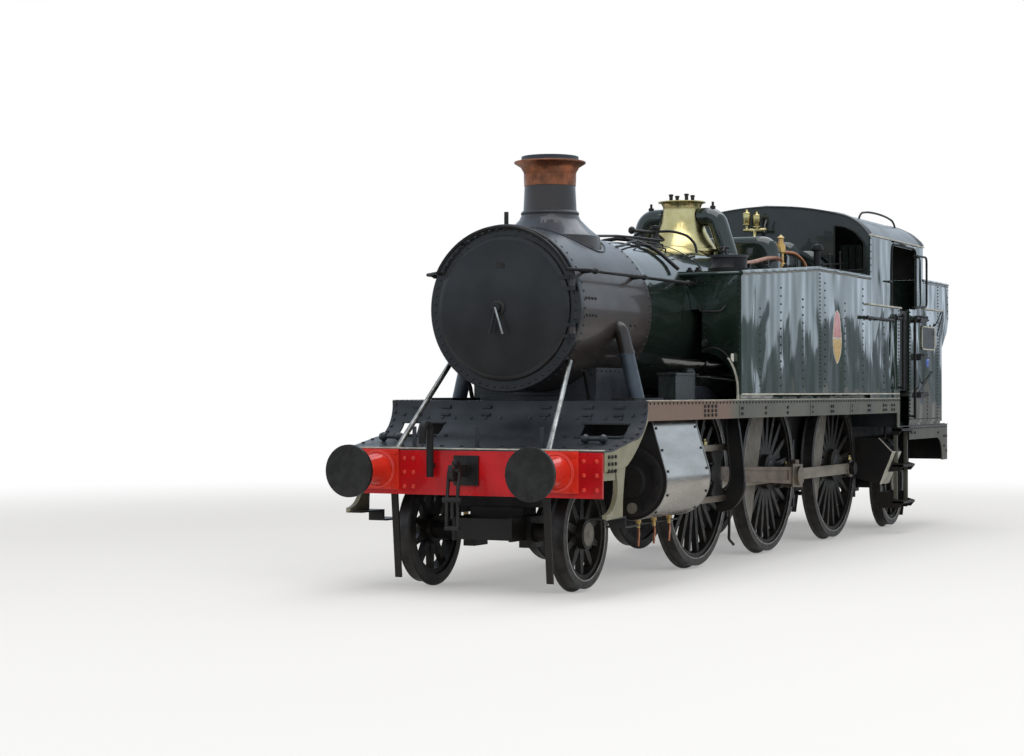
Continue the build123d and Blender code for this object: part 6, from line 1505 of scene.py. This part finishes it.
# front covers, each with a rim, a boss and a relief valve: y and z off its middle, profile, finish, steps
cover_rim = [(0.24, 0), (0.322, 0), (0.322, 0.006), (0.30, 0.012), (0.24, 0.012), (0.24, 0)]
cover_boss = [(0, 0), (0.16, 0), (0.14, 0.03), (0.05, 0.036), (0, 0.036)]
relief_valve = [(0, 0), (0.05, 0), (0.05, 0.022), (0.02, 0.026), (0, 0.026)]
for dy, dz, profile, paint, steps in (
    (0, 0, cover_rim, CHASSIS_BLACK, 64),
    (0, 0, cover_boss, CHASSIS_BLACK, 48),
    (0.03, -0.24, relief_valve, DUSTY_SUNLIT_GREY, 24),
):
    spot = (COVER_X, MOTION_Y + dy, CYLINDER_Z + dz)
    motion.turned(spot, FORWARD, profile, paint, both=True, steps=steps)
nuts = [round_cylinder(4.43, 0.28, 30 * i) for i in range(12)] + [(4.455, MOTION_Y, CYLINDER_Z)]
count += loose_heads(motion, BOLT_TREE, nuts, FORWARD, 0.018, CHASSIS_BLACK)
# drain cocks and their pipes
for x in (4.22, 3.85, 3.48):
    motion.turned((x, MOTION_Y, BOTTOM_Z + 0.01), -UPWARD, [
        (0, 0), (0.026, 0), (0.026, 0.04), (0.016, 0.045), (0.016, 0.09), (0, 0.09)], CREST_GOLD,
        both=True, steps=16)
    motion.tube([
        (x, MOTION_Y, BOTTOM_Z - 0.07), (x + 0.03, MOTION_Y + 0.02, BOTTOM_Z - 0.12),
        (x + 0.05, MOTION_Y + 0.02, BOTTOM_Z - 0.24)], 0.011, PIPE_COPPER, both=True)
motion.tube([
    (4.25, MOTION_Y - 0.03, BOTTOM_Z - 0.05), (3.2, MOTION_Y - 0.03, BOTTOM_Z - 0.05)], 0.009, DARK_STEEL,
    both=True)
# oil cups on the slide bars
for x in (2.55, 3.0):
    motion.turned((x, MOTION_Y, CYLINDER_Z + 0.285), UPWARD, [
        (0, 0), (0.03, 0), (0.03, 0.035), (0.014, 0.045), (0.014, 0.06), (0, 0.06)], BRASS, both=True,
        steps=16)
# gland studs round the piston rod
nuts = [round_cylinder(3.236, 0.065, degrees) for degrees in (90, 210, 330)]
count += loose_heads(motion, BOLT_TREE, nuts, REARWARD, 0.014, BRIGHT_STEEL)
# thin outer edge and raised inner flange of the curved bracket: y and height
edge = [
    (1.12, 1.64), (1.17, 1.38), (1.205, 1.12), (1.226, 0.87), (1.215, 0.75), (1.16, 0.62), (1.07, 0.545)]
motion.tube(cross_line(2.073, edge), 0.006, DARK_STEEL, both=True, corner=0.2, sides=6)
flange = [(1.03, 1.5), (1.052, 1.19), (1.085, 0.9), (1.06, 0.79), (0.95, 0.725)]
motion.tube(cross_line(2.075, flange), 0.012, CHASSIS_BLACK, both=True, corner=0.2, sides=8)
motion.done()
print("motion heads", count)

# %% [markdown]
# ## Wheels and rods
# A bright line, a painted highlight, runs round the inside of each tyre, the hubs end in turned caps, and the
# crankpins have collars. Oil cups stand on the rods. Each piece turns or slides with its own body.

# %% Wheel and rod fittings
# node, axle x and tread radius, hub radius, finish of the cap
wheels = [
    ("leading_wheelset", LEADING, 0.105, DUSTY_SUNLIT_GREY), ("trailing_wheelset", TRAILING, 0.11, DUSTY_SUNLIT_GREY)]
wheels += [(node, (x, COUPLED_R), 0.12, DARK_STEEL) for node, x in COUPLED_X.items()]
for node, (x, tread), hub, cap in wheels:
    wheel = Piece(node + "_trim", body_of_node[node], slot_of_node[node])
    centre = (x, 0, up(tread))
    # a bright steel ring as a painted highlight inside the tyre, and a ring of tyre steel at its outer edge
    lines = ((tread - 0.080, 0.010, 0.8215, BRIGHT_STEEL), (tread - 0.008, 0.006, 0.818, TYRE_STEEL))
    for inner, width, out, metal in lines:
        back, outer = out - 0.012, inner + width
        wheel.turned(centre, OUTWARD, [
            (inner, back), (outer, back), (outer, out), (inner, out), (inner, back)], metal, both=True,
            steps=96)
    wheel.turned(centre, OUTWARD, [
        (0, 0.83), (hub, 0.83), (hub, 0.843), (hub - 0.02, 0.847), (0.03, 0.847), (0.03, 0.852),
        (0, 0.852)], cap, both=True, steps=48)
    wheel.done()

# side, name, where the crankpins stand at rest, in degrees from ahead
for side, name, crank in ((1, "left", 188.0), (-1, "right", 98.0)):
    rod = Piece("coupling_rod_trim_" + name, "coupling_rods_" + name, slot_of_node["coupling_rod_" + name])
    pin_z = up(COUPLED_R) + CRANK_R * math.sin(math.radians(crank))
    for node, x in COUPLED_X.items():
        pin_x = x + CRANK_R * math.cos(math.radians(crank))
        rod.turned((pin_x, side * 0.887, pin_z + 0.10), UPWARD, [
            (0, 0), (0.028, 0), (0.028, 0.036), (0.014, 0.042), (0.014, 0.056), (0, 0.056)], BRASS,
            steps=16)
        # the driving pin carries the connecting rod in place of a collar
        if node != "driving_wheelset":
            rod.turned(
                (pin_x, side * 0.908, pin_z), (0, side, 0),
                [(0.066, 0), (0.1, 0), (0.1, 0.008), (0.066, 0.01), (0.066, 0)], BRIGHT_STEEL, steps=40)
    rod.done()
print("wheels and rods done")

# %% [markdown]
# ## The studio
# A pale floor runs out under a white surround, and turns to pure white far away, so there is no horizon line.
# Four very large soft lights light the engine: one from its left and ahead, one along its left side, one from
# ahead and to its right, and one above. Mirrors such as a gloss tank see a dark ground, a bright horizon and
# a slow fall-off above it, which is what makes gloss paint read as gloss.

# %% Floor, surround and lights
FLOOR_R = 160
floor_mesh = bpy.data.meshes.new("floor")
disc = bmesh.new()
bmesh.ops.create_circle(disc, cap_ends=True, cap_tris=False, segments=96, radius=FLOOR_R)
disc.to_mesh(floor_mesh)
disc.free()
floor = bpy.data.objects.new("floor", floor_mesh)
bpy.context.scene.collection.objects.link(floor)
floor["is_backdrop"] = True

pale = bpy.data.materials.new("pale_floor")
pale.use_nodes = True
tree = pale.node_tree
tree.nodes.clear()
reach = add_node(
    tree, "ShaderNodeVectorMath", {0: add_node(tree, "ShaderNodeTexCoord").outputs["Object"]},
    operation="LENGTH").outputs["Value"]
away = add_node(
    tree, "ShaderNodeMapRange", {0: reach, 1: 6.5, 2: 20.0, 3: 0.3, 4: 1.0},
    interpolation_type="SMOOTHSTEP").outputs[0]
matt = add_node(tree, "ShaderNodeBsdfDiffuse", {"Color": linear("#E6E5E2")})
lit = add_node(tree, "ShaderNodeMix", {
    0: add_node(tree, "ShaderNodeLightPath").outputs["Is Camera Ray"], 2: 0.3, 3: 1.0},
    data_type="FLOAT").outputs[0]
glow = add_node(tree, "ShaderNodeEmission", {"Color": (1, 1, 1, 1), "Strength": lit})
blend = add_node(tree, "ShaderNodeMixShader", {0: away, 1: matt.outputs[0], 2: glow.outputs[0]})
add_node(tree, "ShaderNodeOutputMaterial", {0: blend.outputs[0]})
floor_mesh.materials.append(pale)

world = bpy.data.worlds.new("studio_surround")
bpy.context.scene.world = world
world.use_nodes = True
tree = world.node_tree
tree.nodes.clear()
path = add_node(tree, "ShaderNodeLightPath").outputs
height = add_node(
    tree, "ShaderNodeSeparateXYZ",
    {0: add_node(tree, "ShaderNodeTexCoord").outputs["Generated"]}).outputs[2]
way = add_node(tree, "ShaderNodeMapping", {
    "Vector": add_node(tree, "ShaderNodeTexCoord").outputs["Generated"], "Scale": (1, 1, 0.2)}).outputs[0]
bands = add_node(tree, "ShaderNodeTexNoise", {"Vector": way, "Scale": 9.0, "Detail": 3.0}).outputs[0]
shifted = add_node(
    tree, "ShaderNodeMath", {0: bands, 1: -0.06, 2: height}, operation="MULTIPLY_ADD").outputs[0]
horizon = add_node(
    tree, "ShaderNodeMapRange", {0: shifted, 1: -0.004, 2: 0.008, 3: 0.2, 4: 1.0},
    interpolation_type="SMOOTHSTEP").outputs[0]
skyward = add_node(tree, "ShaderNodeMapRange", {0: height, 1: 0.03, 2: 0.9, 3: 1.1, 4: 0.8}).outputs[0]
mirror_level = add_node(tree, "ShaderNodeMath", {0: skyward, 1: horizon}, operation="MULTIPLY").outputs[0]
seen = add_node(
    tree, "ShaderNodeMath", {0: path["Is Camera Ray"], 1: path["Is Transmission Ray"]},
    operation="MAXIMUM")
soft = add_node(
    tree, "ShaderNodeMix", {0: path["Is Glossy Ray"], 2: 0.6, 3: mirror_level}, data_type="FLOAT")
level = add_node(tree, "ShaderNodeMix", {0: seen.outputs[0], 2: soft.outputs[0], 3: 1.0}, data_type="FLOAT")
tint = mix_colour(tree, path["Is Glossy Ray"], (1, 1, 1, 1), linear("#DCEBFA"))
surround = add_node(tree, "ShaderNodeBackground", {"Color": tint, "Strength": level.outputs[0]})
add_node(tree, "ShaderNodeOutputWorld", {0: surround.outputs[0]})


def soft_light(name, place, aim, width, height, power, mirrored=False):
    """A large soft rectangle of light."""
    lamp = bpy.data.lights.new(name, "AREA")
    lamp.shape, lamp.size, lamp.size_y, lamp.energy = "RECTANGLE", width, height, power
    holder = bpy.data.objects.new(name, lamp)
    bpy.context.scene.collection.objects.link(holder)
    holder.location = place
    holder.rotation_mode = "QUATERNION"
    holder.rotation_quaternion = (Vector(aim) - Vector(place)).to_track_quat("-Z", "Y")
    holder.visible_glossy = mirrored
    holder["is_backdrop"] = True
    return holder


soft_light("key_light", (13, 14, 9), (1, 0, 1.8), 9, 6, 950)
soft_light("front_light", (18, -7, 6), (3, 0, 1.8), 7, 6, 380)
soft_light("top_light", (0, 1, 12), (0, 0, 2), 18, 7, 800, mirrored=True)
soft_light("side_light", (-4, 15, 4), (-1, 0, 1.5), 14, 4, 320)
print("lights", len(bpy.data.lights))

# %% [markdown]
# ## The camera
# It stands where the photo was taken from, ahead of the engine and to its left, at eye height, with a long
# lens.

# %% Camera
EYE, YAW, PITCH, LENS_MM = (21.23, 8.18, 1.764), 0.4625, 0.0069, 71.09
camera = bpy.data.objects.new("camera", bpy.data.cameras.new("camera"))
bpy.context.scene.collection.objects.link(camera)
camera.location = EYE
camera.rotation_mode = "QUATERNION"
look = Vector((-math.cos(YAW) * math.cos(PITCH), -math.sin(YAW) * math.cos(PITCH), math.sin(PITCH)))
camera.rotation_quaternion = look.to_track_quat("-Z", "Y")
camera.data.lens, camera.data.sensor_width, camera.data.clip_end = LENS_MM, 36, 600
bpy.context.scene.camera = camera
bpy.context.scene.view_settings.view_transform = "Standard"

# %% Size of the whole, and finish
low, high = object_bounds()
print("size", [round(v, 4) for v in high - low])
